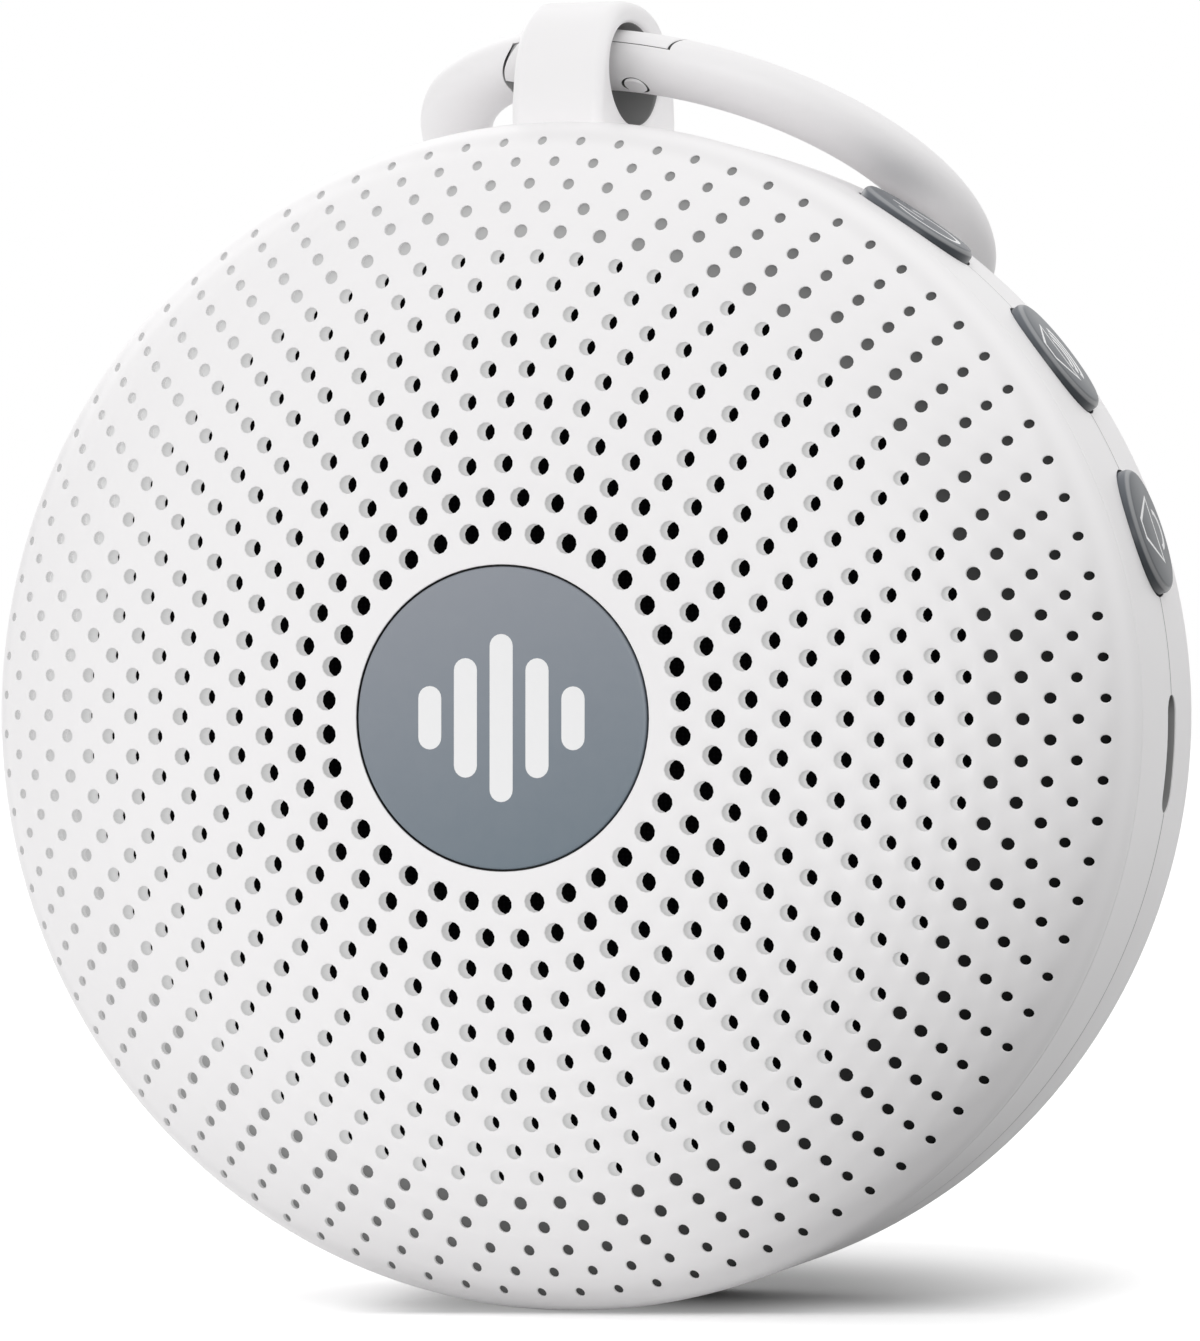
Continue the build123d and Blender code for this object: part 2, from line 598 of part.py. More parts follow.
def speaker_spider():
    """Corrugated disc from the coil to the basket's base."""
    inner = COIL_RADIUS + COIL_WALL + SEAT_GAP
    outer = BASKET_BASE_RADIUS - BASKET_WALL - SEAT_GAP
    base = BASKET_BASE_Y - SEAT_GAP
    waves = 6
    front = []
    back = []
    for step in range(waves + 1):
        radius = inner + (outer - inner) * step / waves
        lift = CONE_WALL if step % 2 else 0.0
        front.append((radius, base - lift - CONE_WALL))
        back.append((radius, base - lift))
    return turned(*front, *reversed(back))


def speaker_top_plate():
    return tube_along_y(TOP_PLATE_RADIUS, COIL_RADIUS + COIL_WALL + COIL_GAP, TOP_PLATE_Y,
                        TOP_PLATE_Y + TOP_PLATE_THICKNESS)


def speaker_magnet():
    return tube_along_y(MAGNET_RADIUS, COIL_RADIUS + COIL_WALL + 4 * COIL_GAP, MAGNET_Y, MAGNET_Y + MAGNET_THICKNESS)


def speaker_yoke():
    plate = rod_along_y(TOP_PLATE_RADIUS, YOKE_Y, YOKE_Y + YOKE_THICKNESS)
    pole = rod_along_y(COIL_RADIUS - COIL_GAP, TOP_PLATE_Y, YOKE_Y + YOKE_THICKNESS)
    return plate + pole


def speaker_screws():
    screws = []
    for angle in SPEAKER_SCREW_ANGLES:
        x, z = on_circle(SPEAKER_SCREW_CIRCLE, angle)
        seat = FLANGE_Y + SPEAKER_FLANGE
        head = rod_along_y(SPEAKER_SCREW_HEAD, seat, seat + SPEAKER_FLANGE, x, z)
        shank = rod_along_y(SPEAKER_SCREW_RADIUS - SEAT_GAP, BAFFLE_FRONT, seat, x, z)
        screws.append(head + shank)
    return Compound(children=screws)


# ---- board, switches, socket, battery ----
def rim_point_on_board(degrees, radius):
    return on_circle(radius, degrees)


def main_board():
    disc = rod_along_y(BOARD_RADIUS, BOARD_FRONT, BOARD_REAR)
    upper = block((-BODY_RADIUS, BODY_RADIUS), (BOARD_FRONT, BOARD_REAR), (BOARD_BOTTOM, BODY_RADIUS))
    tab = block((BOARD_TAB_LEFT, BODY_RADIUS), (BOARD_FRONT, BOARD_REAR), (BOARD_TAB_BOTTOM, BODY_RADIUS))
    board = disc & (upper + tab)
    cutters = []
    for angle in SCREW_ANGLES:
        x, z = on_circle(SCREW_CIRCLE, angle)
        cutters.append(rod_along_y(BOARD_NOTCH_RADIUS, BOARD_FRONT, BOARD_REAR, x, z))
    for x, z in BOARD_SCREW_PLACES:
        cutters.append(rod_along_y(BOARD_SCREW_RADIUS + SCREW_CLEARANCE, BOARD_FRONT, BOARD_REAR, x, z))
    return board - cutters


def board_screws():
    screws = []
    for x, z in BOARD_SCREW_PLACES:
        head = rod_along_y(BOARD_SCREW_HEAD, BOARD_FRONT - BOARD_SCREW_RADIUS, BOARD_FRONT, x, z)
        shank = rod_along_y(BOARD_SCREW_RADIUS - SEAT_GAP, BOARD_FRONT, -REAR_WALL - 2 * BOARD_SCREW_RADIUS, x, z)
        screws.append(head + shank)
    return Compound(children=screws)


STEM_END = BODY_RADIUS - KEY_FLANGE_DROP - KEY_FLANGE_THICKNESS - 0.9
SWITCH_FACE = STEM_END - SEAT_GAP - SWITCH_PLUNGER_OUT


def key_switches():
    """Side-push switches on the board's edge, each with a bore for its plunger."""
    bodies = []
    for angle in KEY_ANGLES.values():
        body = rim_block(angle, SWITCH_WIDTH, (BOARD_FRONT - SWITCH_THICKNESS, BOARD_FRONT),
                         SWITCH_FACE - SWITCH_LENGTH, SWITCH_FACE)
        plane = rim_plane(angle, SWITCH_FACE - SWITCH_PLUNGER_BORE)
        bore = plane.location * Cylinder(SWITCH_PLUNGER_RADIUS + SEAT_GAP, SWITCH_PLUNGER_BORE,
                                         align=(Align.CENTER, Align.CENTER, Align.MIN))
        bodies.append(body - bore)
    return Compound(children=bodies)


def switch_plunger(angle):
    """Plunger between the switch and the key's stem, free to go in by more than the key's travel."""
    low = SWITCH_FACE - SWITCH_PLUNGER_BORE + 2 * KEY_TRAVEL
    plane = rim_plane(angle, low)
    return plane.location * Cylinder(SWITCH_PLUNGER_RADIUS, STEM_END - SEAT_GAP / 2 - low,
                                     align=(Align.CENTER, Align.CENTER, Align.MIN))


def button(angle):
    """Key cap with its bevelled face, the flange that holds it in, and its stem."""
    flange_top = BODY_RADIUS - KEY_FLANGE_DROP
    face = BODY_RADIUS + KEY_PROUD
    cap_plane = rim_plane(angle, flange_top - KEY_FLANGE_THICKNESS / 2)
    cap = extrude(Ellipse(KEY_LENGTH / 2, KEY_WIDTH / 2), face - flange_top + KEY_FLANGE_THICKNESS / 2)
    cap = chamfer(cap.edges().group_by(Axis.Z)[-1], KEY_BEVEL)
    cap = cap_plane.location * cap
    flange = rim_ellipse(angle, KEY_LENGTH + 2 * KEY_FLANGE_EXTRA, KEY_WIDTH + 2 * KEY_FLANGE_EXTRA,
                         flange_top - KEY_FLANGE_THICKNESS, flange_top)
    stem_plane = rim_plane(angle, STEM_END)
    stem = stem_plane.location * Cylinder(KEY_STEM_RADIUS, flange_top - STEM_END,
                                          align=(Align.CENTER, Align.CENTER, Align.MIN))
    return cap + flange + stem


PORT_MOUTH = REAR_INNER - 2 * SEAT_GAP - 0.3


def usb_port_shell():
    low = PORT_MOUTH - PORT_SHELL_DEPTH
    outer = rim_slot(PORT_ANGLE, PORT_SHELL_LENGTH, PORT_SHELL_WIDTH, low, PORT_MOUTH)
    inner = rim_slot(PORT_ANGLE, PORT_SHELL_LENGTH - 2 * PORT_SHELL_WALL,
                     PORT_SHELL_WIDTH - 2 * PORT_SHELL_WALL, low, PORT_MOUTH)
    return outer - inner


def usb_port_core():
    """Insulator at the back of the socket with the contact tongue standing out of it."""
    low = PORT_MOUTH - PORT_SHELL_DEPTH
    inset = PORT_SHELL_WALL + SEAT_GAP
    back = rim_slot(PORT_ANGLE, PORT_SHELL_LENGTH - 2 * inset, PORT_SHELL_WIDTH - 2 * inset,
                    low, low + PORT_BACK_THICKNESS)
    half = PORT_TONGUE_THICKNESS / 2
    tongue = rim_block(PORT_ANGLE, PORT_TONGUE_WIDTH, (PARTING_Y - half, PARTING_Y + half),
                       low, PORT_MOUTH - PORT_TONGUE_SETBACK)
    return back + tongue


def chip(x, z, width, height, thickness, front_side=True):
    if front_side:
        return block((x - width / 2, x + width / 2), (BOARD_FRONT - thickness, BOARD_FRONT),
                     (z - height / 2, z + height / 2))
    return block((x - width / 2, x + width / 2), (BOARD_REAR, BOARD_REAR + thickness),
                 (z - height / 2, z + height / 2))


SPEAKER_PLUG = (0.0, 25.0, 8.0, 4.5, 3.4)      # place in X and Z, then width, height and thickness
BATTERY_PLUG = (-12.0, 0.5, 8.0, 5.0, 3.8)


def capacitors():
    cans = []
    for x in (-30.0, -36.0):
        cans.append(rod_along_y(2.0, BOARD_FRONT - 4.2, BOARD_FRONT, x, 14.0))
    return Compound(children=cans)


def battery_cell():
    x, y, z = battery_limits()
    cell = block(x, y, z)
    return fillet(cell.edges().filter_by(Axis.Z), BATTERY_CORNER_RADIUS)


def battery_pad():
    x, y, z = battery_limits()
    inset = 2 * BATTERY_CORNER_RADIUS
    return block((x[0] + inset, x[1] - inset), (y[1], -REAR_WALL), (z[0] + inset, z[1] - inset))


def lead_pair(points, directions):
    """Two parallel insulated wires along hand-set points, with the way they set off and arrive."""
    wires = []
    for side in (-0.5, 0.5):
        shifted = [(x + side * LEAD_SPACING, y, z) for x, y, z in points]
        line = Spline(*shifted, tangents=directions)
        section = Plane(origin=line @ 0, z_dir=line % 0) * Circle(LEAD_RADIUS)
        wires.append(sweep(section, path=line))
    return Compound(children=wires)


def speaker_leads():
    """From the socket on the board's front to the tags on the basket's flange."""
    x, z, width, height, thickness = SPEAKER_PLUG
    start = (x, BOARD_FRONT - thickness / 2, z + height / 2 + SEAT_GAP)
    middle = (x + 2, BOARD_FRONT - 2 * thickness, z + height / 2 + 4)
    end = (x + 4, FLANGE_Y + SPEAKER_FLANGE + SEAT_GAP, z + 1.5)
    return lead_pair([start, middle, end], [(0, 0, 1), (0, -1, 0)])


def battery_leads():
    """From the top of the cell up to the socket on the board's back."""
    x, z, width, height, thickness = BATTERY_PLUG
    cell_x, cell_y, cell_z = battery_limits()
    start = (x, cell_y[1] - BATTERY_THICKNESS / 2, cell_z[1] + SEAT_GAP)
    end = (x, BOARD_REAR + thickness / 2, z - height / 2 - SEAT_GAP)
    return lead_pair([start, end], [(0, 0, 1), (0, 0, 1)])


# ---- lug ----
def lug_outline():
    """Arch in the YZ plane: straight legs under a superellipse."""
    half = LUG_DEPTH / 2
    rise = LUG_TOP - LUG_FOOT
    points = []
    for step in range(2 * LUG_PROFILE_POINTS + 1):
        turn = math.pi * step / (2 * LUG_PROFILE_POINTS)
        c, s = math.cos(turn), math.sin(turn)
        across = half * math.copysign(abs(c) ** (2 / LUG_PROFILE_POWER), c)
        up = rise * abs(s) ** (2 / LUG_PROFILE_POWER)
        points.append((across, LUG_FOOT + up))
    arch = Spline(*points, tangents=[(0, 1), (0, -1)])
    return arch, half


def hanging_lug():
    arch, half = lug_outline()
    root = LUG_FOOT - 4
    face = make_face([arch, Line((-half, LUG_FOOT), (-half, root)), Line((-half, root), (half, root)),
                      Line((half, root), (half, LUG_FOOT))])
    eye_height = (EYE_TOP - EYE_BOTTOM) / 2
    eye_middle = (EYE_TOP + EYE_BOTTOM) / 2
    eye = Pos(LUG_AXIS_BACK - EYE_AXIS_BACK, eye_middle) * Ellipse(EYE_DEPTH / 2, eye_height)
    across = Plane(origin=(-LUG_WIDTH / 2, -LUG_AXIS_BACK, 0), x_dir=(0, 1, 0), z_dir=(1, 0, 0))
    arch_body = across.location * extrude(face, LUG_WIDTH)
    rim_edges = [edge for edge in arch_body.edges() if edge.geom_type != GeomType.LINE]
    arch_body = fillet(rim_edges, LUG_EDGE_RADIUS)
    arch_body -= body_envelope(SEAT_GAP)
    eye_cut = across.location * extrude(eye, LUG_WIDTH)
    arch_body -= eye_cut
    mouth = [edge for edge in arch_body.edges()
             if edge.geom_type == GeomType.ELLIPSE and edge.center().Z > BODY_RADIUS]
    arch_body = fillet(mouth, EYE_EDGE_RADIUS)
    middle = -PLUG_AXIS_BACK
    top = math.sqrt(REAR_INNER ** 2 - (PLUG_WIDTH / 2 + FLANGE_OVERHANG) ** 2) - SEAT_GAP
    plug = block((-PLUG_WIDTH / 2, PLUG_WIDTH / 2), (middle - PLUG_DEPTH / 2, middle + PLUG_DEPTH / 2),
                 (top - FLANGE_THICKNESS / 2, EYE_BOTTOM - EYE_EDGE_RADIUS / 2))
    plug -= across.location * extrude(eye, LUG_WIDTH)
    flange = block((-PLUG_WIDTH / 2 - FLANGE_OVERHANG, PLUG_WIDTH / 2 + FLANGE_OVERHANG),
                   (middle - PLUG_DEPTH / 2 - SHELL_GAP, middle + PLUG_DEPTH / 2 + SHELL_GAP),
                   (top - FLANGE_THICKNESS, top))
    return arch_body + plug + flange


# ---- ring ----
def ring_plane():
    """Plane of the ring at rest: its X runs along the rod, its Y out of the ring at the rod."""
    yaw, roll, lean = (math.radians(angle) for angle in (RING_YAW, RING_ROLL, RING_LEAN))
    rod = Vector(math.cos(yaw) * math.cos(roll), math.sin(yaw) * math.cos(roll), math.sin(roll))
    forward = rod.cross(Vector(0, 0, 1)).normalized()
    upward = forward.cross(rod)
    inward = upward * math.cos(lean) - forward * math.sin(lean)
    rod_centre = Vector(0, -ROD_BACK, ROD_HEIGHT)
    return Plane(origin=rod_centre + inward * RING_RADIUS, x_dir=rod, z_dir=rod.cross(-inward))


def arc_degrees(arc):
    """Angle along the ring's centre line for a length along it, from the rod towards the right."""
    return math.degrees(arc / RING_RADIUS)


def ring_point(degrees, radius):
    turn = math.radians(degrees)
    return radius * math.sin(turn), radius * math.cos(turn)


def ring_wedge(start, end):
    """Flat sector of the ring's plane between two angles, drawn as a fan well past the section."""
    reach = 2 * RING_RADIUS
    steps = max(2, math.ceil((end - start) / 30))
    fan = [ring_point(start + (end - start) * step / steps, reach) for step in range(steps + 1)]
    return make_face(Polyline((0, 0), *fan, close=True))


def prism(sketch, low, high):
    return Pos(0, 0, low) * extrude(sketch, high - low)


def disc_at(degrees, radius):
    x, y = ring_point(degrees, RING_RADIUS)
    return Pos(x, y) * Circle(radius)


def whole_ring(seam_side):
    """The full ring, its seam on the side (1 right, -1 left) that the half made from it leaves out."""
    section = Plane.XZ * (Pos(seam_side * RING_RADIUS, 0) * Ellipse(RING_HALF_WIDTH, RING_HALF_THICKNESS))
    return revolve(section, Axis.Z)


PIN_TURN = arc_degrees(PIN_ARC)
TIP_TURN = -arc_degrees(TIP_ARC)
FAR_TURN = 180 + arc_degrees(FAR_LAP)
RING_REACH = RING_HALF_THICKNESS + 1


def ring_arm_left():
    """Left half: full section from the tip's pocket round to the far lap, and a tail at the back up to the pin."""
    pocket = disc_at(TIP_TURN, RING_HALF_WIDTH + LAP_END_GAP)
    pin_x, pin_y = ring_point(PIN_TURN, RING_RADIUS)
    tip_x, tip_y = ring_point(TIP_TURN, RING_RADIUS)
    sweep_radius = math.hypot(tip_x - pin_x, tip_y - pin_y) + RING_HALF_WIDTH + LAP_END_GAP
    inner_half = Circle(RING_RADIUS)
    relief = (Pos(pin_x, pin_y) * Circle(sweep_radius)) & inner_half
    full = ring_wedge(-180 + arc_degrees(FAR_LAP), TIP_TURN) - pocket - relief
    tail = ring_wedge(-FAR_TURN, PIN_TURN) + disc_at(PIN_TURN, TAIL_RADIUS)
    ring = whole_ring(1)
    front = ring & prism(full, -RING_REACH, RING_REACH)
    back = ring & prism(tail, -RING_REACH, -LAP_GAP / 2)
    bore = prism(disc_at(PIN_TURN, PIN_RADIUS), -RING_REACH, RING_REACH)
    return ring_plane().location * (front + back - bore)


def ring_arm_right():
    """Right half: full section from the pin round to the far lap, and a tongue at the front with a round tip."""
    shoulder = disc_at(PIN_TURN, TAIL_RADIUS + LAP_END_GAP)
    full = ring_wedge(PIN_TURN, 180 - arc_degrees(FAR_LAP + LAP_END_GAP)) - shoulder
    tip = disc_at(TIP_TURN, RING_HALF_WIDTH)
    tongue = ring_wedge(TIP_TURN, FAR_TURN - arc_degrees(LAP_END_GAP)) + tip
    eye_half = LUG_WIDTH / 2
    inner = RING_RADIUS - RING_HALF_WIDTH
    tip_end = -TIP_ARC - 1.5 * RING_HALF_WIDTH
    waist = make_face(Polyline((WAIST_START, inner - 2), (WAIST_START, inner), (-eye_half, inner + TONGUE_WAIST),
                               (tip_end, inner + TONGUE_TIP_WAIST), (tip_end, inner - 2), close=True))
    ring = whole_ring(-1)
    back = ring & prism(full, -RING_REACH, RING_REACH)
    front = ring & prism(tongue - waist, LAP_GAP / 2, RING_REACH)
    bore = prism(disc_at(PIN_TURN, PIN_RADIUS + PIN_CLEARANCE), -RING_REACH, RING_REACH)
    return ring_plane().location * (back + front - bore)


def ring_pin():
    x, y = ring_point(PIN_TURN, RING_RADIUS)
    pin = Pos(x, y, -RING_HALF_THICKNESS) * Cylinder(PIN_RADIUS, 2 * RING_HALF_THICKNESS,
                                                     align=(Align.CENTER, Align.CENTER, Align.MIN))
    pin = chamfer(pin.edges().filter_by(GeomType.CIRCLE), PIN_CHAMFER)
    return ring_plane().location * pin


# ---- every node, by name ----
NODES = {
    "front_grille": front_grille,
    "badge_disc": badge_disc,
    "badge_adhesive": badge_adhesive,
    "grille_scrim": grille_scrim,
    "front_housing": front_housing,
    "rear_housing": rear_housing,
    "housing_screws": housing_screws,
    "speaker_gasket": speaker_gasket,
    "speaker_basket": speaker_basket,
    "speaker_surround": speaker_surround,
    "speaker_cone": speaker_cone,
    "speaker_dust_cap": speaker_dust_cap,
    "speaker_spider": speaker_spider,
    "voice_coil": voice_coil,
    "speaker_top_plate": speaker_top_plate,
    "speaker_magnet": speaker_magnet,
    "speaker_yoke": speaker_yoke,
    "speaker_screws": speaker_screws,
    "main_board": main_board,
    "board_screws": board_screws,
    "key_switches": key_switches,
    "sound_chip": lambda: chip(-27.0, 21.0, 7.0, 7.0, 1.0),
    "amplifier_chip": lambda: chip(14.0, 22.0, 5.0, 4.0, 1.2),
    "capacitors": capacitors,
    "speaker_connector": lambda: chip(*SPEAKER_PLUG),
    "battery_connector": lambda: chip(*BATTERY_PLUG, front_side=False),
    "speaker_leads": speaker_leads,
    "battery_leads": battery_leads,
    "battery_cell": battery_cell,
    "battery_pad": battery_pad,
    "usb_port_shell": usb_port_shell,
    "usb_port_core": usb_port_core,
    "hanging_lug": hanging_lug,
    "ring_arm_left": ring_arm_left,
    "ring_arm_right": ring_arm_right,
    "ring_pin": ring_pin,
}
for key_name, key_angle in KEY_ANGLES.items():
    NODES["button_" + key_name] = lambda angle=key_angle: button(angle)
    NODES["plunger_" + key_name] = lambda angle=key_angle: switch_plunger(angle)

os.makedirs("parts", exist_ok=True)
for node, make in NODES.items():
    export_step(make(), "parts/" + node + ".step", write_pcurves=False)
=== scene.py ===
import math

import bpy
import numpy as np
from mathutils import Matrix, Vector


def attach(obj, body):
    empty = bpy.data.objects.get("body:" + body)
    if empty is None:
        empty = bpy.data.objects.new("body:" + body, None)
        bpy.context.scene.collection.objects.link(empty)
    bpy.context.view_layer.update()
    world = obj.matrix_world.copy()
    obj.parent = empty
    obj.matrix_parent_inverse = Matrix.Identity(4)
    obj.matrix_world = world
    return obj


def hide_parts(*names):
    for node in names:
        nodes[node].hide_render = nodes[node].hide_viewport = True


# Portable sound machine standing on its rim. Sizes are in millimetres until a mesh is made.
# The body's axis is Y, its flat back is at Y = 0, and the grille's crown faces -Y.

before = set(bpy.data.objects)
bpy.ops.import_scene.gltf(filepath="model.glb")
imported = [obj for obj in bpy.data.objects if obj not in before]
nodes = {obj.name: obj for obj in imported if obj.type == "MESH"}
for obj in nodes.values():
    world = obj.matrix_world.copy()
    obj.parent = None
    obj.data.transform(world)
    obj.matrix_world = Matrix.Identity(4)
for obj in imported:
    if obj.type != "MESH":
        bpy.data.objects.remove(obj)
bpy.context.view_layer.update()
MM = 0.001

# ---- shell ----
BODY_RADIUS = 48.0
CROWN_Y = -38.5
DOME_DEPTH = 15.63
SEAM_Y = CROWN_Y + DOME_DEPTH
PARTING_Y = -11.75
SHELL_WALL = 1.8
GRILLE_WALL = 2.2
THINNER_WALL = 0.75          # less than that, in at the badge
THIN_REACH = (14.7, 21.0)
SKIRT_OUTSIDE = 46.1         # of the grille's rim that plugs into the band
SKIRT_INSIDE = 44.9
SKIRT_DEPTH = 3.0
GRILLE_INNER_RIM = 45.7
BACK_WALL = 2.0
BACK_EDGE_RADIUS = 4.5
BACK_MIDDLE = 4.0            # radius inside which its flat faces are filled in
SEAM_CHAMFER = 0.15
SEAT_GAP = 0.05              # between solids that only touch
DOME_RADIAL_POWER = 2.95
DOME_DEPTH_POWER = 1.875
ROUND_STEPS = 360
CUTTER_REACH = (-4, 3)       # below and above the rim

SCREW_TURNS = (75, 105, 215, 325)
SCREW_DISTANCE = 40.3        # from the body's axis
SCREW_RECESS = (4.1, 2.6)    # across and deep

# ---- grille ----
OPEN_RINGS = 10
DIMPLE_RINGS = 5
TILE_SIDES = 12
RIM_ROUNDING = 0.07
DIMPLE_DEPTH = (0.3, 1.0)    # at the body's right and at its left
FILM_LIFT = 0.03             # of the discs with painted light off the floor of a dimple
PAINTED_WALL_GLOW = (0.22, 0.44)     # painted glow on the holes' walls, at their rims and deep in
PAINTED_WALL_SHADE = 0.42            # painted shade: the grey of the holes' walls
SHOULDER_PAINTED_SHADE = (-28.4, -27.2, -27.0, -25.9, 0.05)  # painted shade on the shoulder: stops in Y, depth
SHOULDER_PAINTED_GLOW = (-26.2, -25.3, -25.1, -24.0, 0.018)  # painted light beside it, a soft glow
DIMPLE_PAINTED_SHEEN = (0.488, 0.162, -0.366)  # painted sheen: at the axis, and its change upwards and to the right
FILM_REACH = 41.0            # over which it changes by that much
STRIP_GAP = 0.08             # left between two rings of tiles for the bridge that joins them
BADGE_RADIUS = 11.9
BADGE_GAP = 0.15
BADGE_THICKNESS = 0.8
BADGE_MIDDLE = 6.0           # radius inside which its flat faces are filled in
RECESS_WALL = 0.85           # of the badge's recess in the grille
RECESS_FLOOR = 1.6
BAR_LENGTHS = (5.0, 9.4, 13.2, 9.4, 5.0)
BAR_WIDTH = 1.9
BAR_STEP = 2.95
INK = 0.02                   # thickness of the print

FIRST_RING = 14.67           # its radius
RING_STEP = 2.70             # to the next one out
STEP_LOSS = 0.07             # by which each step is shorter than the last
FIRST_COUNT = 34
COUNT_STEP = 4
HOLE_SIZES = (1.65, 1.18, 0.74)  # across, in the first ring, the last open one and the last one

# ---- ring ----
RING_RADIUS = 22.13
RING_HALF_WIDTH = 3.1
RING_HALF_THICKNESS = 2.27
RING_LEAN = 116.5
RING_YAW = -14.4
RING_ROLL = -3.4
ROD_BACK = 14.245
ROD_HEIGHT = 53.8
PIN_ARC = 4.75
PIN_SHARE = 0.92             # of the pin's size, for the line round it

# ---- studio ----
FLOOR_BOUNCE = 0.84
# painted shadow: the floor's colour for bounced light to the body's right
SHADED_BOUNCE = 0.05
# painted glow that lifts the floor to white away from the shadow
FLOOR_LIFT = 0.3
LIFT_MIDDLE = (9.9, 15.6)    # of the floor that the painted glow doesn't lift to white, behind the body and to its right
LIFT_REACH = (22.0, 42.0)
SHADOW_MIDDLE = (6.0, 0.0)   # of the painted shadow to the body's right
SHADOW_REACH = (5.0, 42.0)
SHADOW_DEPTH = 0.68
CONTACT_SHADOW_MIDDLE = (1.5, -22.5)  # of the painted shadow close under the rim
CONTACT_SHADOW_REACH = (9.0, 22.0)
CONTACT_SHADOW_DEPTH = 0.7
CAMERA_TURN = 16.5           # degrees of the camera round the object
CAMERA_PLACE = (155.19, -522.385, 5.90)
CAMERA_RIGHT = (0.95680, 0.29075, 0.00043)
CAMERA_UP = (-0.00165, 0.00395, 0.99999)
CAMERA_AHEAD = (-0.29075, 0.95679, -0.00426)
CAMERA_LENS = 173.84
TO_THE_RIGHT = (0.957, 0.291, 0.0)
SURROUNDINGS = 0.83          # light from all round
LAMPS = {                    # turn from the camera, lift, size in metres and watts
    "front_light": (0, 4, 0.4, 2.6),
    "right_light": (90, 35, 0.8, 1.3),
    "back_light": (-150, 35, 0.6, 1.5),
}

# ---- keys, socket, lug ----
KEYS = {"power": 56.0, "volume_up": 37.0, "volume_down": 18.0}
KEY_LENGTH = 10.4
KEY_WIDTH = 9.5
KEY_FACE = 48.74
KEY_FLANGE_FACE = 45.2
KEY_GAP = 0.2
KEY_BEVEL = 0.5
KEY_FLANGE = 0.75
KEY_FLANGE_THICKNESS = 0.9
KEY_STEM_END = 43.4
KEY_STEM_WIDTH = 2.4
LINE_WIDTH = 0.46            # of the icons' lines
POWER_RADIUS = 2.9
POWER_CENTRE = (0.8, -0.3)
PORT_ANGLE = -3.6
PORT_LENGTH = 9.1
PORT_WIDTH = 2.6
PORT_EASE = 0.22             # eased edge of the slot
LUG_HALF_WIDTH = 2.7
LUG_HALF_DEPTH = 4.9
LUG_SHIFT = 0.25
LUG_SINK = 0.28
EYE_Y = 14.2                 # eye's middle ahead of the back
EYE_Z = 52.45
EYE_DEPTH = 14.4
EYE_HEIGHT = 8.3


# ---- modelling helpers ----
def deselect():
    bpy.ops.object.select_all(action="DESELECT")


def only(piece):
    deselect()
    piece.select_set(True)
    bpy.context.view_layer.objects.active = piece


def linked(name, data):
    """A new object in the scene, with its data."""
    piece = bpy.data.objects.new(name, data)
    bpy.context.scene.collection.objects.link(piece)
    return piece


def new_mesh(name, corners, faces):
    """An object from corners in millimetres and faces."""
    mesh = bpy.data.meshes.new(name)
    mesh.from_pydata([tuple(value * MM for value in corner) for corner in corners], [], faces)
    return linked(name, mesh)


def named(name):
    piece = bpy.context.object
    piece.name = name
    piece.data.name = name
    return piece


def places(piece):
    """Every corner of a mesh, as rows of (radius from the body's axis, X, Y, Z) in millimetres."""
    flat = np.empty(3 * len(piece.data.vertices), np.float32)
    piece.data.vertices.foreach_get("co", flat)
    corners = flat.reshape(-1, 3) / MM
    return np.column_stack((np.hypot(corners[:, 0], corners[:, 2]), corners))


def start_picking(piece, kind):
    """Leave a mesh with nothing selected, ready to pick corners, edges or faces."""
    only(piece)
    bpy.ops.object.mode_set(mode="EDIT")
    bpy.ops.mesh.select_mode(type=kind)
    bpy.ops.mesh.select_all(action="DESELECT")
    done()


def pick_edges(piece, test):
    """Enter edit mode with only those edges selected whose ends pass a test on rows of (radius, X, Y, Z)."""
    corner_hits = test(places(piece))
    ends = np.empty(2 * len(piece.data.edges), np.int32)
    piece.data.edges.foreach_get("vertices", ends)
    hits = corner_hits[ends].reshape(-1, 2).all(axis=1)
    chosen = np.zeros(len(piece.data.vertices), bool)
    chosen[ends.reshape(-1, 2)[hits].ravel()] = True
    start_picking(piece, "EDGE")
    piece.data.vertices.foreach_set("select", chosen)
    piece.data.edges.foreach_set("select", hits)
    bpy.ops.object.mode_set(mode="EDIT")


def pick_faces(piece, test):
    """Enter edit mode with only the faces selected that pass a test on the face."""
    start_picking(piece, "FACE")
    for face in piece.data.polygons:
        face.select = test(face)
    bpy.ops.object.mode_set(mode="EDIT")


def done():
    bpy.ops.object.mode_set(mode="OBJECT")


def close_up(piece, distance=0.00001):
    """Merge doubles and turn every face outwards."""
    only(piece)
    bpy.ops.object.mode_set(mode="EDIT")
    bpy.ops.mesh.select_all(action="SELECT")
    bpy.ops.mesh.remove_doubles(threshold=distance)
    bpy.ops.mesh.normals_make_consistent(inside=False)
    done()
    return piece


def smooth(piece, degrees=35):
    only(piece)
    bpy.ops.object.shade_smooth_by_angle(angle=math.radians(degrees))
    return piece


def apply_all(piece):
    only(piece)
    for modifier in list(piece.modifiers):
        bpy.ops.object.modifier_apply(modifier=modifier.name)
    return piece


def set_place(piece, matrix):
    """Put the piece's place into its mesh."""
    piece.data.transform(matrix)
    return piece


def cut(piece, cutters):
    for cutter in cutters:
        difference = piece.modifiers.new("cut", "BOOLEAN")
        difference.operation = "DIFFERENCE"
        difference.solver = "EXACT"
        difference.object = cutter
    apply_all(piece)
    for cutter in cutters:
        bpy.data.objects.remove(cutter)
    return piece


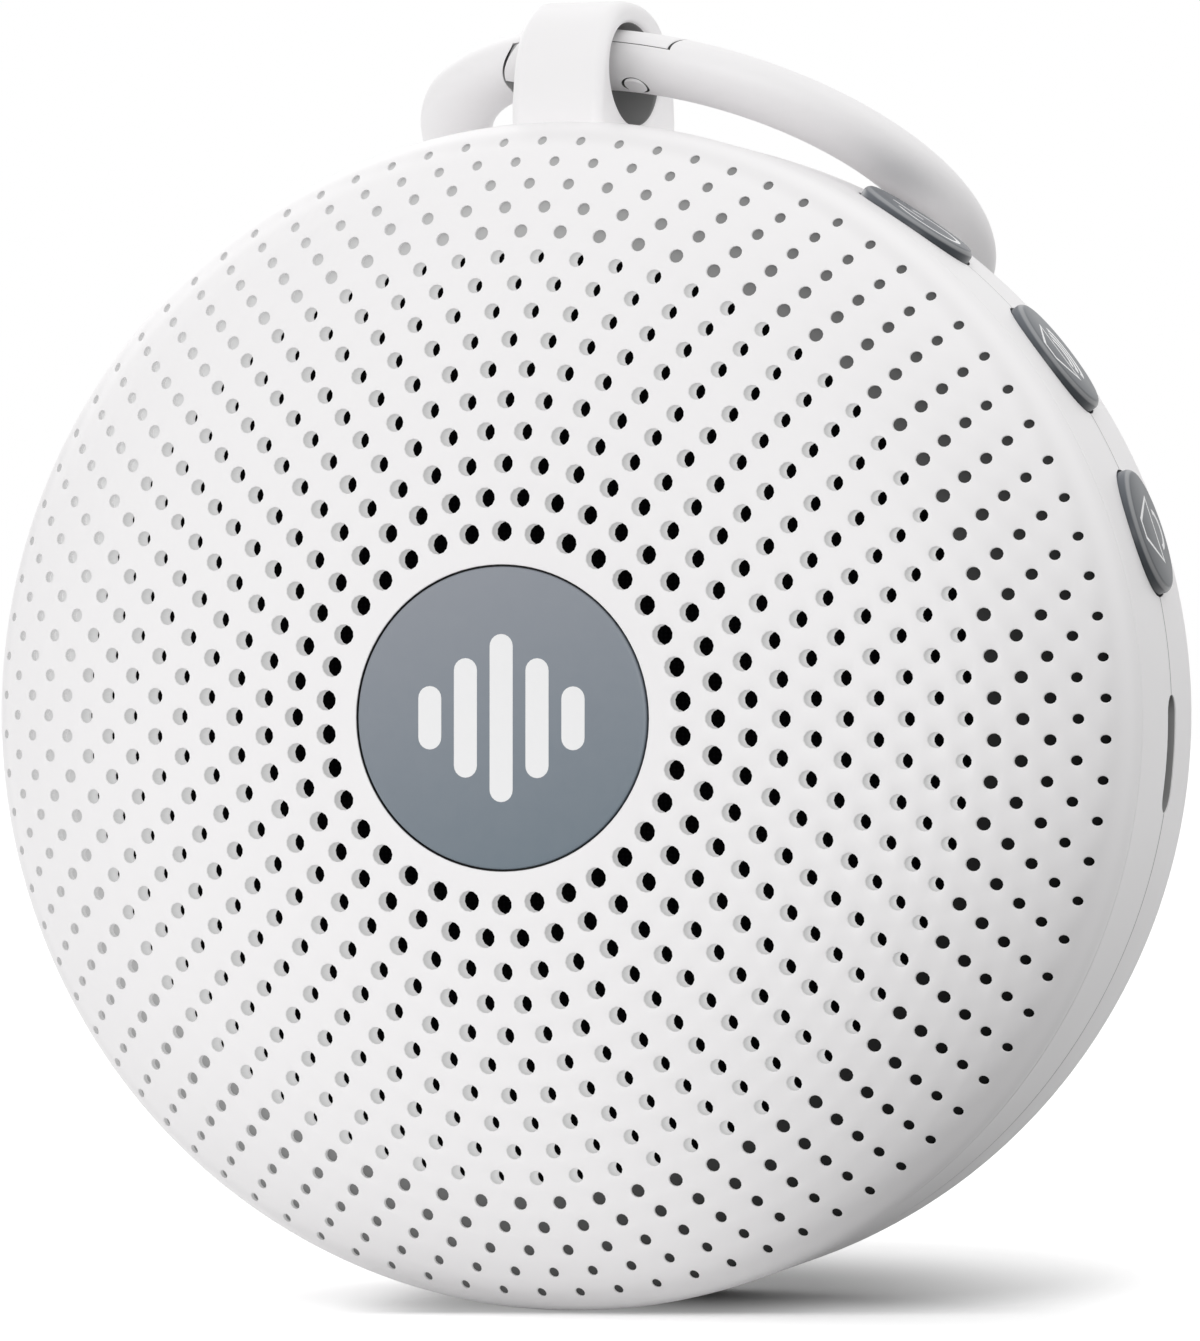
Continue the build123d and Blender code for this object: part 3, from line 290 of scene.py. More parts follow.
def turned(name, profile, steps=ROUND_STEPS, closed=True):
    """Spin a profile of (radius, y) corners about the body's axis. An open one gets flat ends."""
    deselect()
    bpy.ops.mesh.primitive_plane_add(size=MM, location=(profile[0][0] * MM, profile[0][1] * MM, 0))
    piece = named(name)
    bpy.ops.object.transform_apply(location=True)
    bpy.ops.object.mode_set(mode="EDIT")
    bpy.ops.mesh.select_mode(type="VERT")
    bpy.ops.mesh.select_all(action="SELECT")
    bpy.ops.mesh.merge(type="CENTER")
    here = profile[0]
    for there in profile[1:]:
        step = ((there[0] - here[0]) * MM, (there[1] - here[1]) * MM, 0)
        bpy.ops.mesh.extrude_region_move(TRANSFORM_OT_translate={"value": step})
        here = there
    bpy.ops.mesh.select_all(action="SELECT")
    if closed:
        bpy.ops.mesh.edge_face_add()
        bpy.ops.mesh.delete(type="ONLY_FACE")
        bpy.ops.mesh.select_all(action="SELECT")
    bpy.ops.mesh.spin(steps=steps, angle=2 * math.pi, center=(0, 0, 0), axis=(0, 1, 0))
    bpy.ops.mesh.select_all(action="SELECT")
    bpy.ops.mesh.remove_doubles(threshold=0.00001)
    if not closed:
        bpy.ops.mesh.fill_holes(sides=0)
    done()
    return close_up(piece)


def rim_matrix(degrees, radius):
    """From a piece drawn flat, X round the rim, Y along the body and Z out of it, to its place on the rim."""
    turn = math.radians(degrees)
    out = Vector((math.cos(turn), 0, math.sin(turn)))
    around = Vector((math.sin(turn), 0, -math.cos(turn)))
    along = Vector((0, 1, 0))
    place = out * radius * MM + Vector((0, PARTING_Y * MM, 0))
    return Matrix.Translation(place) @ Matrix((around, along, out)).transposed().to_4x4()


def prism(name, outline, low, high, matrix):
    """Straight prism over a flat outline of (x, y) corners."""
    deselect()
    bpy.ops.mesh.primitive_circle_add(vertices=len(outline), radius=MM, fill_type="NGON")
    piece = named(name)
    for vertex, (x, y) in zip(piece.data.vertices, outline):
        vertex.co = (x * MM, y * MM, low * MM)
    bpy.ops.object.mode_set(mode="EDIT")
    bpy.ops.mesh.select_all(action="SELECT")
    bpy.ops.mesh.extrude_region_move(TRANSFORM_OT_translate={"value": (0, 0, (high - low) * MM)})
    done()
    close_up(piece)
    return set_place(piece, matrix)


def oval(length, width, count=96):
    turns = [2 * math.pi * i / count for i in range(count)]
    return [(length / 2 * math.cos(turn), width / 2 * math.sin(turn)) for turn in turns]


def stadium(length, width, count=24):
    """Slot outline with round ends."""
    points = []
    for side in (1, -1):
        for i in range(count + 1):
            turn = math.pi * i / count - math.pi / 2
            points.append((side * ((length - width) / 2 + width / 2 * math.cos(turn)),
                           side * width / 2 * math.sin(turn)))
    return points


def arc_points(centre, radius, start, end, count):
    """Points on an arc in the (radius, y) profile plane, in degrees."""
    turns = [math.radians(start + (end - start) * i / count) for i in range(count + 1)]
    return [(centre[0] + radius * math.cos(turn), centre[1] + radius * math.sin(turn)) for turn in turns]


# ---- the dome's shape ----
def setback(radius, rim, depth):
    share = min(radius / rim, 1.0)
    return depth * (1 - (1 - share ** DOME_RADIAL_POWER) ** (1 / DOME_DEPTH_POWER))


def dome_y(radius):
    return CROWN_Y + setback(radius, BODY_RADIUS, DOME_DEPTH)


def inner_y(radius):
    thinner = THINNER_WALL * min(1, max(0, (THIN_REACH[1] - radius) / (THIN_REACH[1] - THIN_REACH[0])))
    return CROWN_Y + GRILLE_WALL - thinner + setback(radius, GRILLE_INNER_RIM, DOME_DEPTH - GRILLE_WALL)


def dome_radius(y):
    """Radius of the dome at a depth, the other way round from dome_y."""
    share = (y - CROWN_Y) / DOME_DEPTH
    return BODY_RADIUS * (1 - (1 - share) ** DOME_DEPTH_POWER) ** (1 / DOME_RADIAL_POWER)


def ring_radius(index):
    return FIRST_RING + RING_STEP * index - STEP_LOSS / 2 * index * (index - 1)


def ring_count(index):
    return FIRST_COUNT + COUNT_STEP * index


def hole_radius(index):
    first, middle, last = HOLE_SIZES
    if index < OPEN_RINGS:
        return (first - (first - middle) * index / (OPEN_RINGS - 1)) / 2
    return (middle - (middle - last) * (index - OPEN_RINGS + 1) / DIMPLE_RINGS) / 2


def hole_turns(index):
    """The angle round the body of every hole in a ring. Every other ring is turned by half a step."""
    count = ring_count(index)
    return [math.pi / 2 + 2 * math.pi * (hole + 0.5 * (index % 2)) / count for hole in range(count)]


def hole_point(index, turn, sideways, outward):
    """X and Z of a point beside the middle of a hole, along the ring and out from the body's axis."""
    away = ring_radius(index) + outward
    x = away * math.cos(turn) + sideways * math.sin(turn)
    return x, away * math.sin(turn) - sideways * math.cos(turn)


# ---- grille ----
def tile(open_through):
    """Square tile with its hole. Its loops: rim, rounding, skin, tile edge, the wall's foot and the back."""
    deselect()
    bpy.ops.mesh.primitive_circle_add(vertices=TILE_SIDES, radius=1.0, fill_type="NOTHING")
    piece = named("grille_tile")
    bpy.ops.object.mode_set(mode="EDIT")
    for grow in (1.1, 1.15, 1.5):
        bpy.ops.mesh.extrude_region_move()
        bpy.ops.transform.resize(value=(grow, grow, 1))
    done()
    rim = range(TILE_SIDES)
    for vertex in piece.data.vertices:
        vertex.select = vertex.index in rim
    for edge in piece.data.edges:
        edge.select = all(i in rim for i in edge.vertices)
    bpy.ops.object.mode_set(mode="EDIT")
    bpy.ops.mesh.select_mode(type="EDGE")
    bpy.ops.mesh.extrude_region_move(TRANSFORM_OT_translate={"value": (0, 0, -1)})
    if open_through:
        bpy.ops.mesh.extrude_region_move()
        bpy.ops.transform.resize(value=(2, 2, 1))
    else:
        bpy.ops.mesh.edge_face_add()
    done()
    return piece


def dimple_depth(turn):
    """Depth of a dimple, which grows towards the body's left."""
    right, left = DIMPLE_DEPTH
    return right + (left - right) * max(0, -math.cos(turn))


def tile_corner(loop, spoke, index, turn, low, high):
    """Where a corner of a tile lies, from its loop and spoke, its ring of holes and its angle round that."""
    angle = 2 * math.pi * (spoke + 0.5) / TILE_SIDES
    sideways, outward = math.cos(angle), math.sin(angle)
    if loop in (3, 5):
        square = 0.5 / max(abs(sideways), abs(outward))
        radius = (low + high) / 2 + outward * square * (high - low)
        around = turn - sideways * square * 2 * math.pi / ring_count(index)
        y = dome_y(radius) if loop == 3 else inner_y(radius)
        return radius * math.cos(around), y, radius * math.sin(around)
    reach = hole_radius(index) + (0, 0.3, 1)[loop] * RIM_ROUNDING if loop < 3 else hole_radius(index)
    sink = (1, 0.3, 0)[loop] * RIM_ROUNDING if loop < 3 else 0
    x, z = hole_point(index, turn, sideways * reach, outward * reach)
    radius = math.hypot(x, z)
    if loop < 4:
        return x, dome_y(radius) + sink, z
    if index < OPEN_RINGS:
        return x, inner_y(radius), z
    return x, dome_y(radius) + dimple_depth(turn), z


def strip_edge(index):
    """Radius half way between a ring of holes and the next one out."""
    return (ring_radius(index) + ring_radius(index + 1)) / 2


def lay_tiles():
    """Lay a copy of the tile round every ring, each fitted to the dome."""
    corners = []
    faces = []
    for index in range(OPEN_RINGS + DIMPLE_RINGS):
        pattern = tile(index < OPEN_RINGS)
        patch = [tuple(face.vertices) for face in pattern.data.polygons]
        size = len(pattern.data.vertices)
        bpy.data.objects.remove(pattern)
        low = strip_edge(index - 1) + STRIP_GAP
        high = strip_edge(index) - STRIP_GAP
        for turn in hole_turns(index):
            first = len(corners)
            corners += [tile_corner(i // TILE_SIDES, i % TILE_SIDES, index, turn, low, high)
                        for i in range(size)]
            faces += [tuple(first + i for i in face) for face in patch]
    return new_mesh("front_grille_skin", corners, faces)


def near(rows, radius, y, room=0.02):
    return (abs(rows[:, 0] - radius) < room) & (abs(rows[:, 2] - y) < room)


def loop_at(piece, radius, y):
    """Select the loop of edges at a radius and depth."""
    pick_edges(piece, lambda rows: near(rows, radius, y))


def bridge(piece, inner, outer, surface):
    """Join the loops of edges at two radii on a surface."""
    pick_edges(piece, lambda rows: near(rows, inner, surface(inner)) | near(rows, outer, surface(outer)))
    bpy.ops.mesh.bridge_edge_loops()
    done()


def run_loop(start, stops):
    """Extrude the selected loop along (radius, y) stops about the body's axis."""
    radius, y = start
    for next_radius, next_y in stops:
        bpy.ops.mesh.extrude_region_move(TRANSFORM_OT_translate={"value": (0, (next_y - y) * MM, 0)})
        share = next_radius / radius
        bpy.ops.transform.resize(value=(share, 1, share), center_override=(0, 0, 0))
        radius, y = next_radius, next_y


def front_grille():
    piece = lay_tiles()
    close_up(piece, 0.000002)
    last = OPEN_RINGS + DIMPLE_RINGS - 1
    # the bridges between rings of tiles, outside and, behind the open holes, inside
    for surface, rings in ((dome_y, last), (inner_y, OPEN_RINGS - 1)):
        for index in range(rings):
            bridge(piece, strip_edge(index) - STRIP_GAP, strip_edge(index) + STRIP_GAP, surface)
    # the recess for the badge, in from the first ring
    edge = strip_edge(-1) + STRIP_GAP
    lip = BADGE_RADIUS + BADGE_GAP
    floor = dome_y(lip) + BADGE_THICKNESS + BADGE_GAP
    eased = [(lip + 0.5, dome_y(lip + 0.5)), (lip + 0.15, dome_y(lip) + 0.02),
             (lip + 0.04, dome_y(lip) + 0.04), (lip, dome_y(lip) + 0.15)]
    loop_at(piece, edge, dome_y(edge))
    run_loop((edge, dome_y(edge)), eased + [(lip, floor)])
    bpy.ops.mesh.edge_face_add()
    done()
    loop_at(piece, edge, inner_y(edge))
    outer = lip + RECESS_WALL
    run_loop((edge, inner_y(edge)), [(outer, inner_y(lip)), (outer, floor + RECESS_FLOOR)])
    bpy.ops.mesh.edge_face_add()
    done()
    # the shoulder out to the seam, the skirt behind it, and back up the inside of the dome
    edge = strip_edge(last) - STRIP_GAP
    start_y = dome_y(edge)
    stops = []
    for step in range(1, 13):
        y = start_y + (SEAM_Y - SEAM_CHAMFER * 1.5 - start_y) * (step / 12) ** 0.85
        stops.append((dome_radius(y), y))
    stops += [(BODY_RADIUS - SEAM_CHAMFER, SEAM_Y), (SKIRT_OUTSIDE, SEAM_Y),
              (SKIRT_OUTSIDE, SEAM_Y + SKIRT_DEPTH), (SKIRT_INSIDE, SEAM_Y + SKIRT_DEPTH)]
    inner_edge = strip_edge(OPEN_RINGS - 1) - STRIP_GAP
    for step in range(9):
        radius = SKIRT_INSIDE + (inner_edge - SKIRT_INSIDE) * step / 8
        stops.append((radius, inner_y(radius)))
    loop_at(piece, edge, start_y)
    run_loop((edge, start_y), stops[:-1])
    done()
    bridge(piece, inner_edge, stops[-2][0], inner_y)
    close_up(piece, 0.000002)
    return smooth(piece, 50)


def dimple_floors():
    """Discs just above the bottoms of the dimples, which carry their painted light and shade."""
    deselect()
    bpy.ops.mesh.primitive_circle_add(vertices=TILE_SIDES, radius=1.0, fill_type="NGON")
    pattern = named("film_disc")
    corners = []
    faces = []
    for index in range(OPEN_RINGS, OPEN_RINGS + DIMPLE_RINGS):
        reach = hole_radius(index) - 0.01
        for turn in hole_turns(index):
            faces.append(tuple(len(corners) + i for i in range(TILE_SIDES)))
            for vertex in pattern.data.vertices:
                x, z = hole_point(index, turn, vertex.co.x * reach, vertex.co.y * reach)
                corners.append((x, dome_y(math.hypot(x, z)) + dimple_depth(turn) - FILM_LIFT, z))
    bpy.data.objects.remove(pattern)
    return new_mesh("dimple_floors", corners, faces)


# ---- band and back ----
def key_cutters():
    outline = oval(KEY_LENGTH + 2 * KEY_GAP, KEY_WIDTH + 2 * KEY_GAP)
    return [prism("key_cutter", outline, *CUTTER_REACH, rim_matrix(degrees, BODY_RADIUS))
            for degrees in KEYS.values()]


def port_cutter():
    outline = stadium(PORT_LENGTH + 2 * PORT_EASE, PORT_WIDTH + 2 * PORT_EASE)
    return prism("port_cutter", outline, *CUTTER_REACH, rim_matrix(PORT_ANGLE, BODY_RADIUS))


def lug_cutter():
    outline = [(side * LUG_HALF_WIDTH, end * LUG_HALF_DEPTH + LUG_SHIFT)
               for side, end in ((-1, -1), (1, -1), (1, 1), (-1, 1))]
    return prism("lug_cutter", outline, *CUTTER_REACH, rim_matrix(90, BODY_RADIUS))


def eased_edge(y, way):
    """Profile of the shell's edge at a joint, from there onto the wall behind it, or ahead of it for -1."""
    groove = SEAM_CHAMFER
    return [(BODY_RADIUS - groove, y), (BODY_RADIUS - groove / 3, y + way * groove * 0.5),
            (BODY_RADIUS, y + way * groove * 1.5), (BODY_RADIUS, y + way * groove * 3)]


def band():
    inner = BODY_RADIUS - SHELL_WALL
    outside = eased_edge(SEAM_Y, 1) + eased_edge(PARTING_Y, -1)[::-1]
    piece = turned("front_band", [(inner, SEAM_Y)] + outside + [(inner, PARTING_Y)])
    cut(piece, key_cutters() + [port_cutter(), lug_cutter()])
    return smooth(close_up(piece, 0.000001), 40)


def screw_places():
    for degrees in SCREW_TURNS:
        turn = math.radians(degrees)
        yield SCREW_DISTANCE * math.cos(turn), SCREW_DISTANCE * math.sin(turn)


def back_shell():
    edge = BODY_RADIUS - BACK_EDGE_RADIUS
    profile = [(BACK_MIDDLE, -BACK_WALL), (edge - 2, -BACK_WALL)]
    profile += arc_points((edge, -BACK_EDGE_RADIUS), BACK_EDGE_RADIUS - BACK_WALL, 90, 0, 8)
    profile += [(BODY_RADIUS - BACK_WALL, PARTING_Y)] + eased_edge(PARTING_Y, 1)
    profile += arc_points((edge, -BACK_EDGE_RADIUS), BACK_EDGE_RADIUS, 0, 90, 16)
    profile += [(edge - 2, 0), (BACK_MIDDLE, 0)]
    piece = turned("back_shell", profile, closed=False)
    cutters = key_cutters() + [port_cutter(), lug_cutter()]
    wide, deep = SCREW_RECESS
    for x, z in screw_places():
        recess = prism("screw_cutter", oval(wide, wide, 48), -deep, 1,
                       Matrix.Translation((x * MM, 0, z * MM)) @ Matrix.Rotation(-math.pi / 2, 4, "X"))
        cutters.append(recess)
    cut(piece, cutters)
    return smooth(close_up(piece, 0.000001), 30)


# ---- badge, keys and their icons ----
def badge():
    front = dome_y(BADGE_RADIUS + BADGE_GAP)
    back = front + BADGE_THICKNESS
    piece = turned("badge_disc_face", [
        (BADGE_MIDDLE, front), (BADGE_RADIUS - 0.3, front), (BADGE_RADIUS - 0.12, front + 0.02),
        (BADGE_RADIUS - 0.03, front + 0.09), (BADGE_RADIUS, front + 0.2), (BADGE_RADIUS, back),
        (BADGE_MIDDLE, back)], 240, closed=False)
    return smooth(piece, 40)


def rounded_bar(length, width):
    """Outline of an upright bar with round ends."""
    return [(y, x) for x, y in stadium(length, width, 10)]


def badge_mark():
    """Plain sound-level mark: five upright bars in pale ink on the badge."""
    front = dome_y(BADGE_RADIUS + BADGE_GAP)
    bars = []
    for i, length in enumerate(BAR_LENGTHS):
        place = Matrix.Translation(((i - 2) * BAR_STEP * MM, front * MM, 0))
        place = place @ Matrix.Rotation(math.pi / 2, 4, "X")
        bars.append(prism("badge_mark", rounded_bar(length, BAR_WIDTH), -0.1, INK, place))
    only(bars[0])
    for bar in bars[1:]:
        bar.select_set(True)
    bpy.ops.object.join()
    return smooth(named("badge_mark"), 40)


def key_cap(name, degrees):
    """Oval cap with a broad bevel and a flat face, on the flange that holds it in, with its stem below."""
    wide, deep = KEY_LENGTH + 2 * KEY_FLANGE, KEY_WIDTH + 2 * KEY_FLANGE
    flange = KEY_FLANGE_FACE - BODY_RADIUS
    piece = prism(name, oval(wide, deep, 128), flange - KEY_FLANGE_THICKNESS, flange, Matrix.Identity(4))
    pick_faces(piece, lambda face: face.normal.z > 0.9)
    bpy.ops.mesh.extrude_region_move()
    bpy.ops.transform.resize(value=(KEY_LENGTH / wide, KEY_WIDTH / deep, 1), center_override=(0, 0, 0))
    bpy.ops.mesh.extrude_region_move(TRANSFORM_OT_translate={
        "value": (0, 0, (KEY_FACE - KEY_FLANGE_FACE) * MM)})
    bpy.ops.mesh.bevel(offset=KEY_BEVEL * MM, segments=4, profile=0.42, affect="EDGES")
    done()
    pick_faces(piece, lambda face: face.normal.z < -0.9)
    bpy.ops.mesh.extrude_region_move()
    slim = (KEY_STEM_WIDTH / wide, KEY_STEM_WIDTH / deep, 1)
    bpy.ops.transform.resize(value=slim, center_override=(0, 0, 0))
    bpy.ops.mesh.extrude_region_move(TRANSFORM_OT_translate={
        "value": (0, 0, (KEY_STEM_END - KEY_FLANGE_FACE + KEY_FLANGE_THICKNESS) * MM)})
    done()
    close_up(piece, 0.000001)
    set_place(piece, rim_matrix(degrees, BODY_RADIUS))
    return smooth(piece, 40)


def printed_line(name, points, degrees, closed=False):
    """Raised line of paint on a key, as a bevelled curve pressed flat. Its points are in the key's plane."""
    curve = bpy.data.curves.new(name, "CURVE")
    curve.dimensions = "3D"
    curve.bevel_depth = LINE_WIDTH / 2 * MM
    curve.bevel_resolution = 2
    curve.use_fill_caps = True
    line = curve.splines.new("POLY")
    line.points.add(len(points) - 1)
    for point, (x, y) in zip(line.points, points):
        point.co = (x * MM, y * MM, 0, 1)
    line.use_cyclic_u = closed
    only(linked(name, curve))
    bpy.ops.object.convert(target="MESH")
    piece = bpy.context.object
    set_place(piece, rim_matrix(degrees, KEY_FACE) @ Matrix.Diagonal((1, 1, 0.08, 1)))
    close_up(piece, 0.0000001)
    return smooth(piece, 60)


def wave(half_width, edge, crest, count=16):
    """Arc of sound behind the horn's mouth, from both edges up to its crest."""
    turns = [math.pi / 2 * (2 * i / count - 1) for i in range(count + 1)]
    return [(half_width * math.sin(turn), edge + (crest - edge) * math.cos(turn)) for turn in turns]


def horn(small_end, mouth):
    """Outline of a loudspeaker's horn that opens towards the back of the body."""
    return [(-0.75, small_end), (0.75, small_end), (2.7, mouth), (-2.7, mouth)]


def key_icons():
    """The lines on each key: a loudspeaker with one wave, one with three, and a broken ring with a bar."""
    down, up, power = KEYS["volume_down"], KEYS["volume_up"], KEYS["power"]
    icons = {
        "volume_down": [printed_line("volume_down_horn", horn(-3.0, 1.0), down, True),
                        printed_line("volume_down_wave", wave(1.5, 2.0, 3.3), down)],
        "volume_up": [printed_line("volume_up_horn", horn(-3.9, -0.6), up, True)],
    }
    for i in range(3):
        arc = wave(1.3 + 0.55 * i, 0.1 + 0.45 * i, 0.9 + 0.8 * i)
        icons["volume_up"].append(printed_line("volume_up_wave_%d" % (i + 1), arc, up))
    x, y = POWER_CENTRE
    turns = [math.radians(degrees) for degrees in range(40, 321, 8)]
    ring = [(x - POWER_RADIUS * math.cos(turn), y + POWER_RADIUS * math.sin(turn)) for turn in turns]
    bar = [(x - POWER_RADIUS - 0.6, y), (x - 0.5, y)]
    icons["power"] = [printed_line("power_ring", ring, power), printed_line("power_bar", bar, power)]
    return icons


# ---- pieces refined from the fitted solids ----
def refined(node, name):
    """A fitted solid's mesh, welded, with its curved faces smooth."""
    piece = linked(name, nodes[node].data.copy())
    piece.data.materials.clear()
    only(piece)
    bpy.ops.object.mode_set(mode="EDIT")
    bpy.ops.mesh.select_all(action="SELECT")
    bpy.ops.mesh.remove_doubles(threshold=0.0000005)
    done()
    if piece.data.has_custom_normals:
        bpy.ops.mesh.customdata_custom_splitnormals_clear()
    return smooth(piece)


def hinge_pin():
    """The ring's pin, a little slimmer than its bore, which leaves a fine gap round it, dark with painted
    shade.
    """
    piece = refined("ring_pin", "ring_hinge_pin")
    centre, rod, outward, _ = ring_axes()
    turn = PIN_ARC / RING_RADIUS
    axis = centre + (rod * math.sin(turn) + outward * math.cos(turn)) * (RING_RADIUS * MM)
    slim = Matrix.Translation(axis) @ Matrix.Scale(PIN_SHARE, 4, rod) @ Matrix.Scale(PIN_SHARE, 4, outward)
    return set_place(piece, slim @ Matrix.Translation(-axis))


def lug_arch():
    """The lug, with its foot drawn down into the body, which leaves no gap."""
    piece = refined("hanging_lug", "lug_arch")
    foot = BODY_RADIUS + SEAT_GAP
    rows = places(piece)
    low = (abs(rows[:, 0] - foot) < 0.012) & (rows[:, 3] > 40)
    start_picking(piece, "VERT")
    piece.data.vertices.foreach_set("select", low)
    bpy.ops.object.mode_set(mode="EDIT")
    share = (BODY_RADIUS - LUG_SINK) / foot
    bpy.ops.transform.resize(value=(share, 1, share), center_override=(0, 0, 0))
    done()
    return piece


# ---- finishes ----
class Socket:
    """One output of a shader node, so that shader maths reads as arithmetic."""

    def __init__(self, finish, link):
        self.finish = finish
        self.link = link

    def __add__(self, other):
        return self.finish.maths("ADD", self, other)

    def __radd__(self, other):
        return self.finish.maths("ADD", other, self)

    def __sub__(self, other):
        return self.finish.maths("SUBTRACT", self, other)

    def __rsub__(self, other):
        return self.finish.maths("SUBTRACT", other, self)

    def __mul__(self, other):
        return self.finish.maths("MULTIPLY", self, other)

    def __rmul__(self, other):
        return self.finish.maths("MULTIPLY", other, self)

    def __truediv__(self, other):
        return self.finish.maths("DIVIDE", self, other)


class Finish:
    """A material under construction."""

    def __init__(self, name, owner=None):
        self.material = owner or bpy.data.materials.new(name)
        self.material.use_nodes = True
        self.tree = self.material.node_tree
        self.shader = self.tree.nodes.get("Principled BSDF")

    def node(self, kind, settings=None, sockets=None):
        """Add a node: its settings, then its sockets by name or by place. Returns its outputs by name."""
        made = self.tree.nodes.new(kind)
        for key, value in (settings or {}).items():
            if key == "stops":
                for _ in range(len(value) - 2):
                    made.color_ramp.elements.new(0.5)
                for element, (position, colour) in zip(made.color_ramp.elements, value):
                    element.position = position
                    element.color = colour
            else:
                setattr(made, key, value)
        pairs = sockets.items() if isinstance(sockets, dict) else enumerate(sockets or [])
        for key, value in pairs:
            self.feed(made.inputs[key], value)
        return {output.name: Socket(self, output) for output in reversed(made.outputs)}

    def feed(self, socket, value):
        if isinstance(value, Socket):
            self.tree.links.new(value.link, socket)
        else:
            socket.default_value = value

    def set(self, **values):
        """Set or link the shader's sockets; underscores stand for spaces."""
        for key, value in values.items():
            self.feed(self.shader.inputs[key.replace("_", " ")], value)
        return self

    def place(self):
        return self.node("ShaderNodeTexCoord")["Object"]

    def noise(self, scale, detail=3.0, roughness=0.55, at=None):
        sockets = {"Vector": at or self.place(), "Scale": scale, "Detail": detail, "Roughness": roughness}
        return self.node("ShaderNodeTexNoise", None, sockets)["Fac"]

    def waves(self, direction, scale, distortion):
        return self.node("ShaderNodeTexWave", {"wave_type": "BANDS", "bands_direction": direction},
                         {"Vector": self.place(), "Scale": scale, "Distortion": distortion})["Fac"]

    def blend(self, share, first, second):
        made = self.tree.nodes.new("ShaderNodeMix")
        made.data_type = "RGBA"
        self.feed(made.inputs[0], share)
        self.feed(made.inputs[6], first)
        self.feed(made.inputs[7], second)
        return Socket(self, made.outputs[2])

    def ramp(self, value, start, end, low, high):
        """Smooth change from low to high as a value goes from start to end."""
        return self.node("ShaderNodeMapRange", {"interpolation_type": "SMOOTHSTEP"}, {
            "Value": value, "From Min": start, "From Max": end, "To Min": low, "To Max": high})["Result"]

    def hill(self, value, start, top, fall, foot, height=1.0):
        """Smooth rise to a height and fall back to nothing, as a value goes through four stops."""
        return self.ramp(value, start, top, 0.0, height) * self.ramp(value, fall, foot, 1.0, 0.0)

    def axes(self):
        """X, Y and Z of the place, and the distance from the body's axis."""
        parts = self.node("ShaderNodeSeparateXYZ", None, {"Vector": self.place()})
        x, y, z = (parts[axis] for axis in "XYZ")
        return x, y, z, self.maths("SQRT", x * x + z * z)

    def along(self, vector, axis):
        return self.node("ShaderNodeVectorMath", {"operation": "DOT_PRODUCT"}, [vector, axis])["Value"]

    def spot(self, middle, reach, low, high):
        """Smooth change between two distances from a point on the floor, in millimetres."""
        point = (middle[0] * MM, middle[1] * MM, 0)
        away = self.node("ShaderNodeVectorMath", {"operation": "DISTANCE"}, [self.place(), point])["Value"]
        return self.ramp(away, reach[0] * MM, reach[1] * MM, low, high)

    def maths(self, operation, *values):
        return self.node("ShaderNodeMath", {"operation": operation}, list(values))["Value"]

    def bump(self, height, strength, distance):
        sockets = {"Height": height, "Strength": strength, "Distance": distance}
        return self.node("ShaderNodeBump", None, sockets)["Normal"]


def grey(value):
    return (value, value, value, 1.0)


def moulded(name, colour, shade, roughness, grain=2600.0):
    """Moulded plastic: fine spark texture, and a slight cloudiness in colour and gloss."""
    made = Finish(name)
    clouds = made.noise(70.0, 2.0)
    made.set(Base_Color=made.blend(clouds, colour, shade), Roughness=roughness - 0.04 + 0.08 * clouds,
             Normal=made.bump(made.noise(grain, 2.0), 0.12, 0.00002), IOR=1.5)
    return made.material


WHITE = ((0.905, 0.893, 0.899, 1), (0.890, 0.878, 0.885, 1))


def white_skin(made, painted_shade_mask, shade, painted_shade_band=None, **more):
    """The shell's white with its fine spark texture, with painted shade on the masked places and on any shade
    band.
    """
    clouds = made.noise(70.0, 2.0)
    skin = made.blend(clouds, *WHITE)
    if painted_shade_band:
        skin = made.blend(painted_shade_band, skin, grey(0))
    made.set(Base_Color=made.blend(painted_shade_mask, skin, shade), Roughness=0.40 + 0.08 * clouds,
             Normal=made.bump(made.noise(2600.0, 2.0), 0.12, 0.00002), IOR=1.5, **more)
    return made.material


def band_plastic():
    """The shell's white, with painted shade in the slot, in the gaps round the keys and in the parting line.
    """
    made = Finish("band_white")
    _, y, _, radius = made.axes()
    inside = made.maths("LESS_THAN", radius, (BODY_RADIUS - 0.1) * MM)
    inside = inside * made.maths("GREATER_THAN", y, (SEAM_Y + 1) * MM)
    inside = inside * made.maths("LESS_THAN", y, (PARTING_Y + 2.5) * MM)
    parting = made.maths("LESS_THAN", made.maths("ABSOLUTE", y - PARTING_Y * MM), 0.16 * MM)
    # painted shade: grey in the slot and the gaps, a little lighter along the parting line
    return white_skin(made, made.maths("MAXIMUM", inside, 0.75 * parting), grey(0.3))


